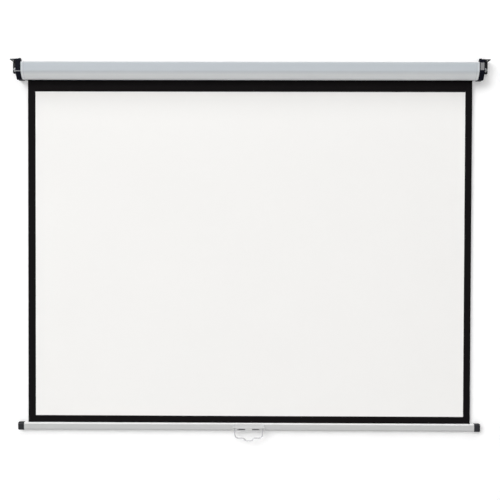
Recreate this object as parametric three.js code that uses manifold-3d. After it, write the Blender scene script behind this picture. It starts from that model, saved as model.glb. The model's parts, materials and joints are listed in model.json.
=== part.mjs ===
// Manual pull-down projector screen on its wall brackets, drawn down to its full picture height.
// Millimetres. X runs along the roller to the right, Y into the wall, Z up.
// The origin lies on the wall plane, midway between the brackets, level with the roller axis.

import * as THREE from 'three';
import { mergeVertices } from 'three/addons/utils/BufferGeometryUtils.js';
import Module from 'manifold-3d';

const wasm = await Module();
wasm.setup();

// Clearances shared by all pieces
const gap = 0.3;
const closeFit = 0.1;
const weldDistance = 0.003;
const overrun = 5;

// Picture surface
const pictureWidth = 1500;
const pictureHeight = 1135;
const sideBorder = 25;
const lowerBorder = 24;
const leaderHeight = 68.5;
const fabricThickness = 0.4;
const deadWrapThickness = 0.5;

// Case
const caseSideReach = 13.5;
const caseHeight = 58.5;
const caseDepth = 66;
const caseWall = 1.4;
const caseCornerRadius = 4;
const creaseDrop = 4;
const undercutDepth = 22;
const undercutBulgeShares = { back: 0.25, down: 0.4 };
const slotWidth = 19;
const lipHeight = 5;
const screwChannelRadius = 3.6;
const screwChannelBore = 1.8;
const screwChannelInset = 2.2;

// End caps
const capThickness = 18.5;
const capRise = 8.2;
const capBrowDepth = 14;
const capSkirt = 2.5;
const capCollarWidth = 8;
const capCollarRise = 2.3;
const capWall = 2;
const capPlugDepth = 7;
const capEdgeBevel = 1.6;
const panelRecess = 1;
const panelHeight = 26;
const panelInnerMargin = 3;
const panelOuterMargin = 2;
const bearingBossRadius = 11;
const hangStudRadius = 4;
const hangStudHeight = 17;
const hangStudSetback = 29;
const hangStudReach = 6;
const retainerOffset = 14;

// Wall brackets
const bracketSheet = 2.5;
const bracketReach = 24;
const bracketDepth = 52;
const bracketFootDrop = 4.2;
const bracketCornerRadius = 5;
const bracketSlotWidth = 5.5;
const ceilingSlotLength = 22;
const wallSlotLength = 14;
const wallScrewHeight = 10.5;
const wallScrewOffset = 6.5;

// Roller
const rollerDiameter = 35;
const rollerWall = 1;
const rollerOverhang = 1;
const plugDepth = 20;
const plugFlange = 1.5;
const pinDiameter = 8;
const pinChamfer = 1;
const bushWall = 2.4;
const bushLength = 8;
const bushFlange = 1.2;

// Spring motor
const springShaftDiameter = 8;
const springShaftReach = 440;
const spearWidth = 7;
const spearThickness = 3;
const springWire = 2;
const springMeanRadius = 8.5;
const springTurns = 24;
const anchorLength = 8;
const bearingLength = 10;

// Ratchet
const hubRadius = 7;
const hubLength = 5;
const notchDepth = 2;
const notchWidth = 4.2;
const notchCount = 2;
const pawlReach = 8;
const pawlPivotHeight = 9;
const pawlSwing = 18;
const pawlThickness = 3;
const pawlArmHeight = 3.2;
const pawlPinRadius = 1.2;
const pawlPocketRadius = 15;
const pawlPinPlay = 0.15;
const toothInset = 0.6;
const toothDraft = 0.3;
const toothClearance = 0.45;

// Bottom bar
const barHeight = 27;
const barDepth = 20;
const barWall = 1.4;
const barFrontRadius = 7;
const barBackRadius = 4;
const hemSlotWidth = 2.6;
const hemSlotDepth = 3;
const hemChannelRadius = 3.6;
const hemRodRadius = 2.2;
const barCapLength = 21.5;
const barCapLip = 0.7;
const barCapPlug = 14;
const barCapBevel = 3.5;

// Pull handle
const housingWidth = 112;
const housingTopDrop = 3;
const housingTopThickness = 2.6;
const housingSkin = 1.5;
const housingLip = 0.6;
const housingCornerRadius = 6;
const pivotRise = 7;
const pivotStandoff = 1.5;
const bailWidth = 97;
const bailWire = 4.5;
const bailDrop = 40;
const bailShoulderDrop = 31;
const bailSideDrop = 15.5;
const bailShoulderOuter = 33;
const bailShoulderInner = 22;
const bailDipHalf = 9.5;
const bailDipShoulder = 12.5;
const bailBend = 4;
const bailLeg = 6.5;
const notchSideRoom = 0.65;
const windowInner = 12;
const windowOuter = 40;
const windowHeight = 4.6;
const windowDepth = 4.4;
const housingScrewInset = 4.2;

// Fasteners
const capScrewHead = { radius: 3.6, height: 2.4, shank: 1.55, length: 14 };
const wallScrewHead = { radius: 4.6, height: 2.8, shank: 2.2, length: 28 };
const retainingScrewHead = { radius: 3.8, height: 2.4, shank: 1.9, length: 11 };
const housingScrewHead = { radius: 2.6, height: 1.3, shank: 1.3, length: 6 };
const driveShares = { width: 0.28, length: 1.3, depth: 0.5 };
const headDomeShare = 0.33;

// Places worked out from the sizes above
const fabricWidth = pictureWidth + 2 * sideBorder;
const caseHalf = fabricWidth / 2 + caseSideReach;
const caseTop = caseHeight / 2;
const caseBottom = -caseTop;
const caseBack = -(bracketSheet + gap);
const caseFront = caseBack - caseDepth;
const rollerY = caseBack - caseDepth / 2;
const rollRadius = rollerDiameter / 2 + deadWrapThickness;
const fabricY = rollerY + rollRadius + gap + fabricThickness / 2;
const rollerHalf = fabricWidth / 2 + rollerOverhang;
const rollerBore = rollerDiameter / 2 - rollerWall;
const capOuter = caseHalf + capThickness;
const capTop = caseTop + capRise;
const pictureTop = -leaderHeight;
const pictureBottom = pictureTop - pictureHeight;
const barTop = pictureBottom - lowerBorder;
const barBottom = barTop - barHeight;
const barFront = fabricY - barDepth / 2;
const barBack = fabricY + barDepth / 2;
const barEnd = caseHalf;
const hemCentre = barTop - hemSlotDepth - hemChannelRadius;
const pivotY = barFront - gap - housingSkin - bailWire / 2 - gap - pivotStandoff;
const pivotZ = barBottom + pivotRise;
const slotBack = fabricY + slotWidth / 2;
const slotFront = fabricY - slotWidth / 2;
const bracketInner = capOuter + gap;
const bracketOuter = bracketInner + bracketReach;
const screwX = bracketOuter - wallScrewOffset;

// Finishes
const finishes = {
  caseGrey: { color: 0xc3c7ca, roughness: 0.45, metalness: 0.1 },
  barGrey: { color: 0xc1c2c2, roughness: 0.4, metalness: 0.15 },
  housingGrey: { color: 0xb9babb, roughness: 0.5, metalness: 0 },
  blackPlastic: { color: 0x16171d, roughness: 0.35, metalness: 0 },
  blackSteel: { color: 0x1a1b20, roughness: 0.45, metalness: 0.3 },
  steel: { color: 0xb8bbbe, roughness: 0.35, metalness: 0.9 },
  springSteel: { color: 0x6d6f73, roughness: 0.4, metalness: 0.9 },
  nylon: { color: 0xe4e2da, roughness: 0.6, metalness: 0 },
  picture: { color: 0xf6f5f3, roughness: 0.9, metalness: 0 },
  blackFabric: { color: 0x18171b, roughness: 0.9, metalness: 0 },
};

const alongX = new THREE.Matrix4().makeBasis(
  new THREE.Vector3(0, 1, 0), new THREE.Vector3(0, 0, 1), new THREE.Vector3(1, 0, 0));
const alongY = new THREE.Matrix4().makeBasis(
  new THREE.Vector3(1, 0, 0), new THREE.Vector3(0, 0, 1), new THREE.Vector3(0, -1, 0));
const turnedX = new THREE.Matrix4().makeBasis(
  new THREE.Vector3(0, 1, 0), new THREE.Vector3(1, 0, 0), new THREE.Vector3(0, 0, -1));

// Solid operations
function toSolid(geometry) {
  const bare = geometry.clone();
  bare.deleteAttribute('normal');
  bare.deleteAttribute('uv');
  const merged = mergeVertices(bare, 1e-4);
  return new wasm.Manifold(new wasm.Mesh({
    numProp: 3,
    vertProperties: new Float32Array(merged.attributes.position.array),
    triVerts: new Uint32Array(merged.index.array),
  }));
}

function toGeometry(solid) {
  const mesh = solid.getMesh();
  const geometry = new THREE.BufferGeometry();
  geometry.setAttribute('position', new THREE.BufferAttribute(mesh.vertProperties, 3));
  geometry.setIndex(new THREE.BufferAttribute(mesh.triVerts, 1));
  return geometry;
}

function join(first, ...others) {
  return toGeometry(others.reduce((solid, other) => solid.add(toSolid(other)), toSolid(first)));
}

function cut(first, ...others) {
  return toGeometry(others.reduce((solid, other) => solid.subtract(toSolid(other)), toSolid(first)));
}

function common(first, second) {
  return toGeometry(toSolid(first).intersect(toSolid(second)));
}

function mirrored(geometry) {
  const copy = mergeVertices(geometry.clone().deleteAttribute('normal').deleteAttribute('uv'), 1e-4);
  copy.scale(-1, 1, 1);
  const index = copy.index.array;
  for (let i = 0; i < index.length; i += 3) [index[i + 1], index[i + 2]] = [index[i + 2], index[i + 1]];
  return copy;
}

// Basic forms
function block(x0, x1, y0, y1, z0, z1) {
  return new THREE.BoxGeometry(x1 - x0, y1 - y0, z1 - z0)
    .translate((x0 + x1) / 2, (y0 + y1) / 2, (z0 + z1) / 2);
}

function prismX(shape, x0, x1, segments = 8) {
  return new THREE.ExtrudeGeometry(shape, { depth: x1 - x0, bevelEnabled: false, curveSegments: segments })
    .applyMatrix4(alongX).translate(x0, 0, 0);
}

function prismY(shape, y0, y1, segments = 8) {
  return new THREE.ExtrudeGeometry(shape, { depth: y1 - y0, bevelEnabled: false, curveSegments: segments })
    .applyMatrix4(alongY).translate(0, y1, 0);
}

function prismZ(shape, z0, z1, segments = 8) {
  return new THREE.ExtrudeGeometry(shape, { depth: z1 - z0, bevelEnabled: false, curveSegments: segments })
    .translate(0, 0, z0);
}

function outline(points) {
  return new THREE.Shape(points.map(([a, b]) => new THREE.Vector2(a, b)));
}

function circle(a, b, radius) {
  return new THREE.Shape().absarc(a, b, radius, 0, 2 * Math.PI, false);
}

// Rectangle whose corners, from the lowest pair of sides round to the left, have their own radii
function roundedBox(a0, a1, b0, b1, radii, steps = 6) {
  const corners = [[a0, b0, 1, 1], [a1, b0, -1, 1], [a1, b1, -1, -1], [a0, b1, 1, -1]];
  const points = corners.flatMap(([a, b, inA, inB], corner) => {
    const r = radii[corner];
    if (r === 0) return [[a, b]];
    return Array.from({ length: steps + 1 }, (_, step) => {
      const angle = Math.PI + (corner + step / steps) * Math.PI / 2;
      return [a + inA * r + r * Math.cos(angle), b + inB * r + r * Math.sin(angle)];
    });
  });
  const distinct = points.filter(([a, b], i) => {
    const [lastA, lastB] = points[(i + points.length - 1) % points.length];
    return Math.hypot(a - lastA, b - lastB) > weldDistance;
  });
  return outline(distinct);
}

function oblong(a, b, lengthA, lengthB) {
  const r = Math.min(lengthA, lengthB) / 2;
  return roundedBox(a - lengthA / 2, a + lengthA / 2, b - lengthB / 2, b + lengthB / 2, [r, r, r, r], 4);
}

function rodX(x0, x1, y, z, radius, sides = 20) {
  return prismX(circle(y, z, radius), x0, x1, sides / 2);
}

// Revolved about the line through (y, z) along X; the profile lists [radius, x] pairs
function revolvedX(profile, y, z, sides = 24) {
  const points = profile.map(([radius, x]) => new THREE.Vector2(radius, x));
  return new THREE.LatheGeometry(points, sides).applyMatrix4(turnedX).translate(0, y, z);
}

// Case profile: the sheet's outer line from the rear lip round the back, top and front to the front lip
function caseLine(inset) {
  const back = caseBack - inset;
  const front = caseFront + inset;
  const top = caseTop - inset;
  const bottom = caseBottom + inset;
  const crease = -creaseDrop;
  const radius = caseCornerRadius - inset;
  const path = new THREE.Path();
  path.moveTo(slotBack + inset, caseBottom + lipHeight);
  path.lineTo(slotBack + inset, bottom);
  path.lineTo(back, bottom);
  path.lineTo(back, top - radius);
  path.absarc(back - radius, top - radius, radius, 0, Math.PI / 2, false);
  path.lineTo(front + radius, top);
  path.absarc(front + radius, top - radius, radius, Math.PI / 2, Math.PI, false);
  path.lineTo(front, crease);
  const drop = crease - bottom;
  path.quadraticCurveTo(
    front + undercutDepth * undercutBulgeShares.back, crease - drop * undercutBulgeShares.down,
    front + undercutDepth, bottom);
  path.lineTo(slotFront - inset, bottom);
  path.lineTo(slotFront - inset, caseBottom + lipHeight);
  return path.getPoints(6);
}

// Closed outline of an end cap along the roller: the case's own, with a raised brow in front and a skirt below
function capFace() {
  const bottom = caseBottom - capSkirt;
  const crease = -creaseDrop;
  const drop = crease - bottom;
  const shape = new THREE.Shape();
  shape.moveTo(caseBack, bottom);
  shape.lineTo(caseBack, caseTop);
  shape.lineTo(caseFront + capBrowDepth + capRise, caseTop);
  shape.lineTo(caseFront + capBrowDepth, capTop);
  shape.lineTo(caseFront, capTop);
  shape.lineTo(caseFront, crease);
  shape.quadraticCurveTo(
    caseFront + undercutDepth * undercutBulgeShares.back, crease - drop * undercutBulgeShares.down,
    caseFront + undercutDepth, bottom);
  shape.closePath();
  return shape;
}

const screwChannels = [
  [caseBack - caseWall - screwChannelRadius - screwChannelInset,
    caseTop - caseWall - screwChannelRadius - screwChannelInset],
  [caseFront + caseWall + screwChannelRadius + screwChannelInset,
    caseTop - caseWall - screwChannelRadius - screwChannelInset],
];

function caseShell() {
  const outer = caseLine(0);
  const inner = caseLine(caseWall).reverse();
  const sheet = prismX(new THREE.Shape([...outer, ...inner]), -caseHalf, caseHalf);
  const channels = screwChannels.map(([y, z]) => {
    const side = y > rollerY ? 1 : -1;
    const foot = block(-caseHalf, caseHalf,
      Math.min(y, y + side * (screwChannelRadius + screwChannelInset + caseWall / 2)),
      Math.max(y, y + side * (screwChannelRadius + screwChannelInset + caseWall / 2)),
      z, z + screwChannelBore);
    return [rodX(-caseHalf, caseHalf, y, z, screwChannelRadius, 10), foot];
  }).flat();
  const bores = screwChannels.map(([y, z]) =>
    rodX(-caseHalf - overrun, caseHalf + overrun, y, z, screwChannelBore, 8));
  return cut(join(sheet, ...channels), ...bores);
}

// End cap of the right-hand end; side names which bearing it carries
function endCap(side) {
  const shoulder = new THREE.ExtrudeGeometry(capFace(), {
    depth: capThickness - capEdgeBevel, bevelEnabled: true, bevelSize: capEdgeBevel,
    bevelOffset: -capEdgeBevel, bevelThickness: capEdgeBevel, bevelSegments: 3, curveSegments: 8,
  }).applyMatrix4(alongX).translate(caseHalf, 0, 0);
  const trim = block(caseHalf - overrun, caseHalf, caseFront - overrun, 0, caseBottom - overrun,
    capTop + capCollarRise + overrun);
  const collar = prismX(outline([
    [caseFront + capBrowDepth, caseTop], [caseFront + capBrowDepth - capCollarRise, capTop + capCollarRise],
    [caseFront + capCollarRise, capTop + capCollarRise], [caseFront, capTop], [caseFront, caseTop]]),
  caseHalf, caseHalf + capCollarWidth);
  const hollow = prismX(caseRing(caseWall + gap + capWall), caseHalf - capPlugDepth - overrun,
    capOuter - capWall);
  const boss = rodX(caseHalf - capPlugDepth, capOuter - capWall / 2, rollerY, 0, bearingBossRadius, 14);
  const pillars = screwChannels.map(([y, z]) =>
    rodX(caseHalf, capOuter - capWall / 2, y, z, capScrewHead.radius + gap + capWall, 12));
  const retainerPillar = rodX(capOuter - retainingScrewHead.length - capWall, capOuter - capWall / 2,
    ...retainerPlace, retainingScrewHead.shank + gap + capWall, 12);
  const panel = block(caseHalf + panelInnerMargin, capOuter - panelOuterMargin, caseFront - overrun,
    caseFront + panelRecess, 0, panelHeight);
  const stud = revolvedX([[0, capOuter - capWall / 2], [hangStudRadius, capOuter - capWall / 2],
    [hangStudRadius, capOuter + hangStudReach - gap], [hangStudRadius - gap, capOuter + hangStudReach],
    [0, capOuter + hangStudReach]], -hangStudSetback, hangStudHeight, 16);
  const shell = cut(join(cut(shoulder, trim), collar, capPlug()), hollow, panel);
  const body = join(shell, boss, stud, ...pillars, retainerPillar);
  const seat = side === 'idler'
    ? rodX(caseHalf - capPlugDepth - overrun, caseHalf + bushLength - capPlugDepth + gap, rollerY, 0,
      pinDiameter / 2 + bushWall + gap, 12)
    : block(caseHalf - capPlugDepth - overrun, capOuter - capWall - spearThickness,
      rollerY - spearThickness / 2 - gap, rollerY + spearThickness / 2 + gap,
      -spearWidth / 2 - gap, spearWidth / 2 + gap);
  const pinRoom = side === 'idler'
    ? [rodX(caseHalf - overrun, capOuter - 2 * capWall, rollerY, 0, pinDiameter / 2 + gap, 12)] : [];
  const screwHoles = screwChannels.map(([y, z]) =>
    rodX(caseHalf - capPlugDepth - overrun, capOuter + overrun, y, z, capScrewHead.shank + gap, 8));
  const counterbores = screwChannels.map(([y, z]) =>
    rodX(capOuter - capScrewHead.height - gap, capOuter + overrun, y, z, capScrewHead.radius + gap, 12));
  const retainerHole = rodX(capOuter - retainingScrewHead.length, capOuter + overrun,
    ...retainerPlace, retainingScrewHead.shank + gap, 8);
  return cut(body, seat, ...pinRoom, ...screwHoles, ...counterbores, retainerHole);
}

const retainerPlace = [-hangStudSetback + retainerOffset, hangStudHeight];

// The part of the cap that enters the case, clear of its wall, its channels and the cloth slot
function capPlug() {
  const core = prismX(caseRing(caseWall + gap), caseHalf - capPlugDepth, caseHalf + capWall);
  const channelRoom = screwChannels.map(([y, z]) => {
    const side = y > rollerY ? 1 : -1;
    const room = screwChannelRadius + gap;
    const reach = y + side * (room + screwChannelInset + caseWall);
    return block(caseHalf - capPlugDepth - overrun, caseHalf, Math.min(y - room, reach),
      Math.max(y + room, reach), z - room, caseTop);
  });
  const slotRoom = block(caseHalf - capPlugDepth - overrun, caseHalf, slotFront - caseWall - gap,
    slotBack + caseWall + gap, caseBottom, caseBottom + lipHeight + gap);
  return cut(core, ...channelRoom, slotRoom);
}

function caseRing(inset) {
  const back = caseBack - inset;
  const front = caseFront + inset;
  const top = caseTop - inset;
  const bottom = caseBottom + inset;
  const crease = -creaseDrop;
  const drop = crease - bottom;
  const chamfer = caseCornerRadius - caseWall;
  const shape = new THREE.Shape();
  shape.moveTo(back, bottom);
  shape.lineTo(back, top - chamfer);
  shape.lineTo(back - chamfer, top);
  shape.lineTo(front + chamfer, top);
  shape.lineTo(front, top - chamfer);
  shape.lineTo(front, crease);
  shape.quadraticCurveTo(
    front + undercutDepth * undercutBulgeShares.back, crease - drop * undercutBulgeShares.down,
    front + undercutDepth, bottom);
  shape.closePath();
  return shape;
}

// Bracket of the right-hand end: folded sheet with a side web, a wall plate and a ceiling plate
function wallBracket() {
  const top = capTop + gap + bracketSheet;
  const r = bracketCornerRadius;
  const web = prismX(roundedBox(-bracketDepth, 0, -bracketFootDrop, top, [r, 0, 0, 0]),
    bracketInner, bracketInner + bracketSheet);
  const wallPlate = prismY(roundedBox(bracketInner, bracketOuter, -bracketFootDrop, top, [0, r, 0, 0]),
    -bracketSheet, 0);
  const ceilingShape = roundedBox(bracketInner, bracketOuter, -bracketDepth, 0, [0, r, 0, 0]);
  ceilingShape.holes.push(oblong(screwX, -bracketDepth / 2, bracketSlotWidth, ceilingSlotLength));
  const ceilingPlate = prismZ(ceilingShape, top - bracketSheet, top);
  const wallSlot = prismY(oblong(screwX, wallScrewHeight, bracketSlotWidth, wallSlotLength),
    -bracketSheet - overrun, overrun);
  const studSlot = prismX(oblong(-hangStudSetback, hangStudHeight, 2 * (hangStudRadius + gap),
    2 * (hangStudRadius + gap)), bracketInner - overrun, bracketInner + bracketSheet + overrun);
  const retainerHole = rodX(bracketInner - overrun, bracketInner + bracketSheet + overrun,
    ...retainerPlace, retainingScrewHead.shank + gap, 10);
  return cut(join(web, wallPlate, ceilingPlate), wallSlot, studSlot, retainerHole);
}

// Pan-head screw along +X with its head's underside at x = 0 and a cross recess
function screw(head) {
  const dome = head.height * headDomeShare;
  const body = revolvedX([[0, -head.length], [head.shank * driveShares.depth, -head.length],
    [head.shank, -head.length + head.shank], [head.shank, 0], [head.radius, 0],
    [head.radius, head.height - dome], [head.radius - dome, head.height], [0, head.height]], 0, 0, 12);
  const half = head.radius * driveShares.width / 2;
  const reach = head.radius * driveShares.length / 2;
  const floor = head.height * (1 - driveShares.depth);
  return cut(body, block(floor, head.height + overrun, -reach, reach, -half, half),
    block(floor, head.height + overrun, -half, half, -reach, reach));
}

function capScrew(y, z) {
  return screw(capScrewHead).translate(capOuter - capScrewHead.height, y, z);
}

function retainingScrew() {
  return screw(retainingScrewHead).translate(bracketInner + bracketSheet + gap, ...retainerPlace);
}

function frontScrew(head, x, y, z) {
  return screw(head).rotateZ(-Math.PI / 2).translate(x, y, z);
}

// Roller
function rollerTube() {
  return revolvedX([[rollerBore, -rollerHalf], [rollerDiameter / 2, -rollerHalf],
    [rollerDiameter / 2, rollerHalf], [rollerBore, rollerHalf], [rollerBore, -rollerHalf]], rollerY, 0, 32);
}

// The wraps that stay on the roller, with the step where the cloth's outer end leaves the roll
function fabricWraps() {
  const inner = rollerDiameter / 2 + closeFit;
  const segments = 36;
  const shape = new THREE.Shape();
  for (let i = 0; i <= segments; i += 1) {
    const share = i / segments;
    const radius = rollRadius - fabricThickness / 2 + share * fabricThickness / 2;
    const angle = share * 2 * Math.PI;
    const point = [rollerY + radius * Math.cos(angle), radius * Math.sin(angle)];
    if (i === 0) shape.moveTo(...point);
    else shape.lineTo(...point);
  }
  shape.closePath();
  shape.holes.push(circle(rollerY, 0, inner));
  return prismX(shape, -fabricWidth / 2, fabricWidth / 2, 18);
}

function idlerPlug() {
  return revolvedX([[pinDiameter / 2 + closeFit, -rollerHalf - plugFlange],
    [rollerDiameter / 2, -rollerHalf - plugFlange], [rollerDiameter / 2, -rollerHalf - closeFit],
    [rollerBore - closeFit, -rollerHalf - closeFit], [rollerBore - closeFit, -rollerHalf + plugDepth],
    [pinDiameter / 2 + closeFit, -rollerHalf + plugDepth],
    [pinDiameter / 2 + closeFit, -rollerHalf - plugFlange]], rollerY, 0, 24);
}

function idlerPin() {
  const tip = -capOuter + 2 * capWall + gap;
  return revolvedX([[0, tip], [pinDiameter / 2 - pinChamfer, tip], [pinDiameter / 2, tip + pinChamfer],
    [pinDiameter / 2, -rollerHalf + plugDepth], [0, -rollerHalf + plugDepth]], rollerY, 0, 20);
}

function idlerBush() {
  const end = -caseHalf + capPlugDepth;
  const bore = pinDiameter / 2 + gap;
  const outer = pinDiameter / 2 + bushWall;
  return revolvedX([[bore, end - bushLength], [outer, end - bushLength], [outer, end + closeFit],
    [outer + bushFlange, end + closeFit], [outer + bushFlange, end + bushFlange],
    [bore, end + bushFlange], [bore, end - bushLength]], rollerY, 0, 20);
}

// Spring motor at the right-hand end
const shaftRight = rollerHalf - gap;
const hubRight = rollerHalf - plugFlange;
const hubLeft = hubRight - hubLength;
const shaftLeft = rollerHalf - springShaftReach;

function springShaft() {
  const radius = springShaftDiameter / 2;
  const shaft = rodX(shaftLeft, shaftRight, rollerY, 0, radius, 12);
  const spear = block(shaftRight - radius, capOuter - capWall - spearThickness - gap,
    rollerY - spearThickness / 2, rollerY + spearThickness / 2, -spearWidth / 2, spearWidth / 2);
  return join(shaft, spear);
}

// Ring with saw-tooth notches: a steep side that stops the pawl and a ramp that lets it ride out
function ratchetHub() {
  const ring = new THREE.Shape();
  const half = notchWidth / 2 / hubRadius;
  const floor = hubRadius - notchDepth;
  for (let notch = 0; notch < notchCount; notch += 1) {
    const centre = Math.PI / 2 + notch * 2 * Math.PI / notchCount;
    const next = centre + 2 * Math.PI / notchCount;
    ring.absarc(rollerY, 0, hubRadius, centre + half, next - half, false);
    ring.lineTo(rollerY + floor * Math.cos(next + half), floor * Math.sin(next + half));
  }
  ring.closePath();
  ring.holes.push(circle(rollerY, 0, springShaftDiameter / 2 + closeFit));
  return prismX(ring, hubLeft, hubRight, 10);
}

// Cup that turns with the tube round the fixed shaft; its pocket holds the hub and the pawl
function drivePlug() {
  const bore = springShaftDiameter / 2 + gap;
  const cup = revolvedX([[bore, rollerHalf - plugDepth], [rollerBore - closeFit, rollerHalf - plugDepth],
    [rollerBore - closeFit, rollerHalf + closeFit], [rollerDiameter / 2, rollerHalf + closeFit],
    [rollerDiameter / 2, rollerHalf + plugFlange],
    [pawlPocketRadius, rollerHalf + plugFlange], [pawlPocketRadius, hubLeft - gap],
    [bore, hubLeft - gap], [bore, rollerHalf - plugDepth]], rollerY, 0, 28);
  const pinHole = rodX(hubLeft - pawlThickness, hubRight, rollerY - pawlReach, pawlPivotHeight,
    pawlPinRadius + closeFit, 8);
  return cut(cup, pinHole);
}

function pawlPin() {
  return rodX(hubLeft - pawlThickness + gap, hubLeft + pawlThickness + 2 * gap, rollerY - pawlReach,
    pawlPivotHeight, pawlPinRadius, 10);
}

// Pawl drawn down in its notch, then lifted clear of the hub about its pin
function pawl() {
  const y0 = rollerY - pawlReach;
  const tip = hubRadius - notchDepth + toothClearance;
  const under = hubRadius + gap;
  const half = notchWidth / 2;
  const eye = pawlArmHeight / 2 + gap;
  const stop = rollerY - half + toothInset;
  const arm = outline([[y0, under], [stop, under], [stop + toothDraft, tip],
    [rollerY + half + gap, under], [rollerY + half + gap, under + pawlArmHeight / 2],
    [y0, under + pawlArmHeight]]);
  const x0 = hubLeft + gap;
  const x1 = x0 + pawlThickness;
  const hole = rodX(x0 - overrun, x1 + overrun, y0, pawlPivotHeight, pawlPinRadius + pawlPinPlay, 10);
  return cut(join(prismX(arm, x0, x1), rodX(x0, x1, y0, pawlPivotHeight, eye, 12)), hole)
    .translate(0, -y0, -pawlPivotHeight)
    .rotateX(THREE.MathUtils.degToRad(pawlSwing))
    .translate(0, y0, pawlPivotHeight);
}

const springLeft = shaftLeft + bearingLength + anchorLength + 2 * gap + springWire / 2;
const springPitch = (rollerHalf - plugDepth - gap - springWire / 2 - springLeft) / springTurns;

class SpringPath extends THREE.Curve {
  getPoint(t, target = new THREE.Vector3()) {
    const angle = t * springTurns * 2 * Math.PI;
    const x = springLeft + t * springTurns * springPitch;
    return target.set(x, rollerY + springMeanRadius * Math.cos(angle), springMeanRadius * Math.sin(angle));
  }
}

const springSteps = 8;
const springSides = 5;

// Close helix swept by a ring of points at each step, closed at both ends
function torsionSpring() {
  const path = new SpringPath();
  const rings = springTurns * springSteps;
  const positions = [];
  const index = [];
  for (let i = 0; i <= rings; i += 1) {
    const t = i / rings;
    const centre = path.getPoint(t);
    const angle = t * springTurns * 2 * Math.PI;
    const out = new THREE.Vector3(0, Math.cos(angle), Math.sin(angle));
    const tangent = path.getTangent(t);
    const across = new THREE.Vector3().crossVectors(tangent, out).normalize();
    const radial = new THREE.Vector3().crossVectors(across, tangent).normalize();
    for (let j = 0; j < springSides; j += 1) {
      const turn = j / springSides * 2 * Math.PI;
      const point = centre.clone()
        .addScaledVector(radial, springWire / 2 * Math.cos(turn))
        .addScaledVector(across, springWire / 2 * Math.sin(turn));
      positions.push(point.x, point.y, point.z);
    }
  }
  for (let i = 0; i < rings; i += 1) {
    for (let j = 0; j < springSides; j += 1) {
      const a = i * springSides + j;
      const b = i * springSides + (j + 1) % springSides;
      index.push(a, b, b + springSides, a, b + springSides, a + springSides);
    }
  }
  const last = rings * springSides;
  for (let j = 1; j < springSides - 1; j += 1) {
    index.push(0, j + 1, j, last, last + j, last + j + 1);
  }
  const geometry = new THREE.BufferGeometry();
  geometry.setAttribute('position', new THREE.Float32BufferAttribute(positions, 3));
  geometry.setIndex(index);
  return geometry;
}

function springAnchor() {
  const bore = springShaftDiameter / 2 + closeFit;
  const outer = springMeanRadius + springWire;
  const left = shaftLeft + bearingLength + gap;
  return revolvedX([[bore, left], [outer, left], [outer, left + anchorLength], [bore, left + anchorLength],
    [bore, left]], rollerY, 0, 20);
}

function shaftBearing() {
  const bore = springShaftDiameter / 2 + gap;
  const outer = rollerBore - closeFit;
  return revolvedX([[bore, shaftLeft], [outer, shaftLeft], [outer, shaftLeft + bearingLength],
    [bore, shaftLeft + bearingLength], [bore, shaftLeft]], rollerY, 0, 24);
}

// Picture cloth
function screenFabric() {
  return block(-fabricWidth / 2, fabricWidth / 2, fabricY - fabricThickness / 2,
    fabricY + fabricThickness / 2, barTop + gap, 0);
}

// The cloth's hem, wrapped round the rod inside the bar's channel
function fabricHem() {
  const half = fabricThickness / 2;
  const radius = hemRodRadius + closeFit + fabricThickness;
  const neck = block(-fabricWidth / 2, fabricWidth / 2, fabricY - half, fabricY + half,
    hemCentre + radius - half, barTop);
  const wrap = circle(fabricY, hemCentre, radius);
  wrap.holes.push(circle(fabricY, hemCentre, hemRodRadius + closeFit));
  return join(neck, prismX(wrap, -fabricWidth / 2, fabricWidth / 2, 10));
}

function hemRod() {
  return rodX(-fabricWidth / 2, fabricWidth / 2, fabricY, hemCentre, hemRodRadius, 10);
}

// Bottom bar
function barOutline(grow) {
  const a0 = barFront - grow;
  const a1 = barBack + grow;
  const b0 = barBottom - grow;
  const b1 = barTop + grow;
  return roundedBox(a0, a1, b0, b1, [barFrontRadius, barBackRadius, barBackRadius, barFrontRadius]);
}

function bottomBar() {
  const webZ = hemCentre - hemChannelRadius - barWall;
  const chamber = roundedBox(barFront + barWall, barBack - barWall, barBottom + barWall, webZ,
    [barFrontRadius - barWall, barBackRadius - barWall, 0, 0]);
  const solidBar = prismX(barOutline(0), -barEnd, barEnd);
  const hollow = prismX(chamber, -barEnd - overrun, barEnd + overrun);
  const channel = rodX(-barEnd - overrun, barEnd + overrun, fabricY, hemCentre, hemChannelRadius, 12);
  const mouth = block(-barEnd - overrun, barEnd + overrun, fabricY - hemSlotWidth / 2,
    fabricY + hemSlotWidth / 2, hemCentre, barTop + overrun);
  const screwHoles = [-1, 1].map((side) => prismY(circle(side * housingScrewX, housingScrewZ,
    housingScrewHead.shank + gap), barFront - overrun, barFront + 2 * barWall));
  return cut(solidBar, hollow, channel, mouth, ...screwHoles);
}

function barCap() {
  const body = new THREE.ExtrudeGeometry(barOutline(barCapLip), {
    depth: barCapLength - barCapBevel, bevelEnabled: true, bevelSize: barCapBevel, bevelOffset: -barCapBevel,
    bevelThickness: barCapBevel, bevelSegments: 4, curveSegments: 6,
  }).applyMatrix4(alongX).translate(barEnd, 0, 0);
  const trim = block(barEnd - barCapBevel - overrun, barEnd, barFront - overrun, barBack + overrun,
    barBottom - overrun, barTop + overrun);
  const inset = barWall + gap;
  const webZ = hemCentre - hemChannelRadius - barWall;
  const plug = prismX(roundedBox(barFront + inset, barBack - inset, barBottom + inset, webZ - gap,
    [barFrontRadius - inset, barBackRadius - inset, 0, 0]),
  barEnd - barCapPlug, barEnd + barCapBevel);
  return join(cut(body, trim), plug);
}

// Handle housing: a moulding on the bar's front that thickens down to the pivot of the bail
const housingHalf = housingWidth / 2;
const housingScrewX = housingHalf - housingScrewInset;
const housingScrewZ = barTop - housingTopDrop - housingScrewInset;

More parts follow.
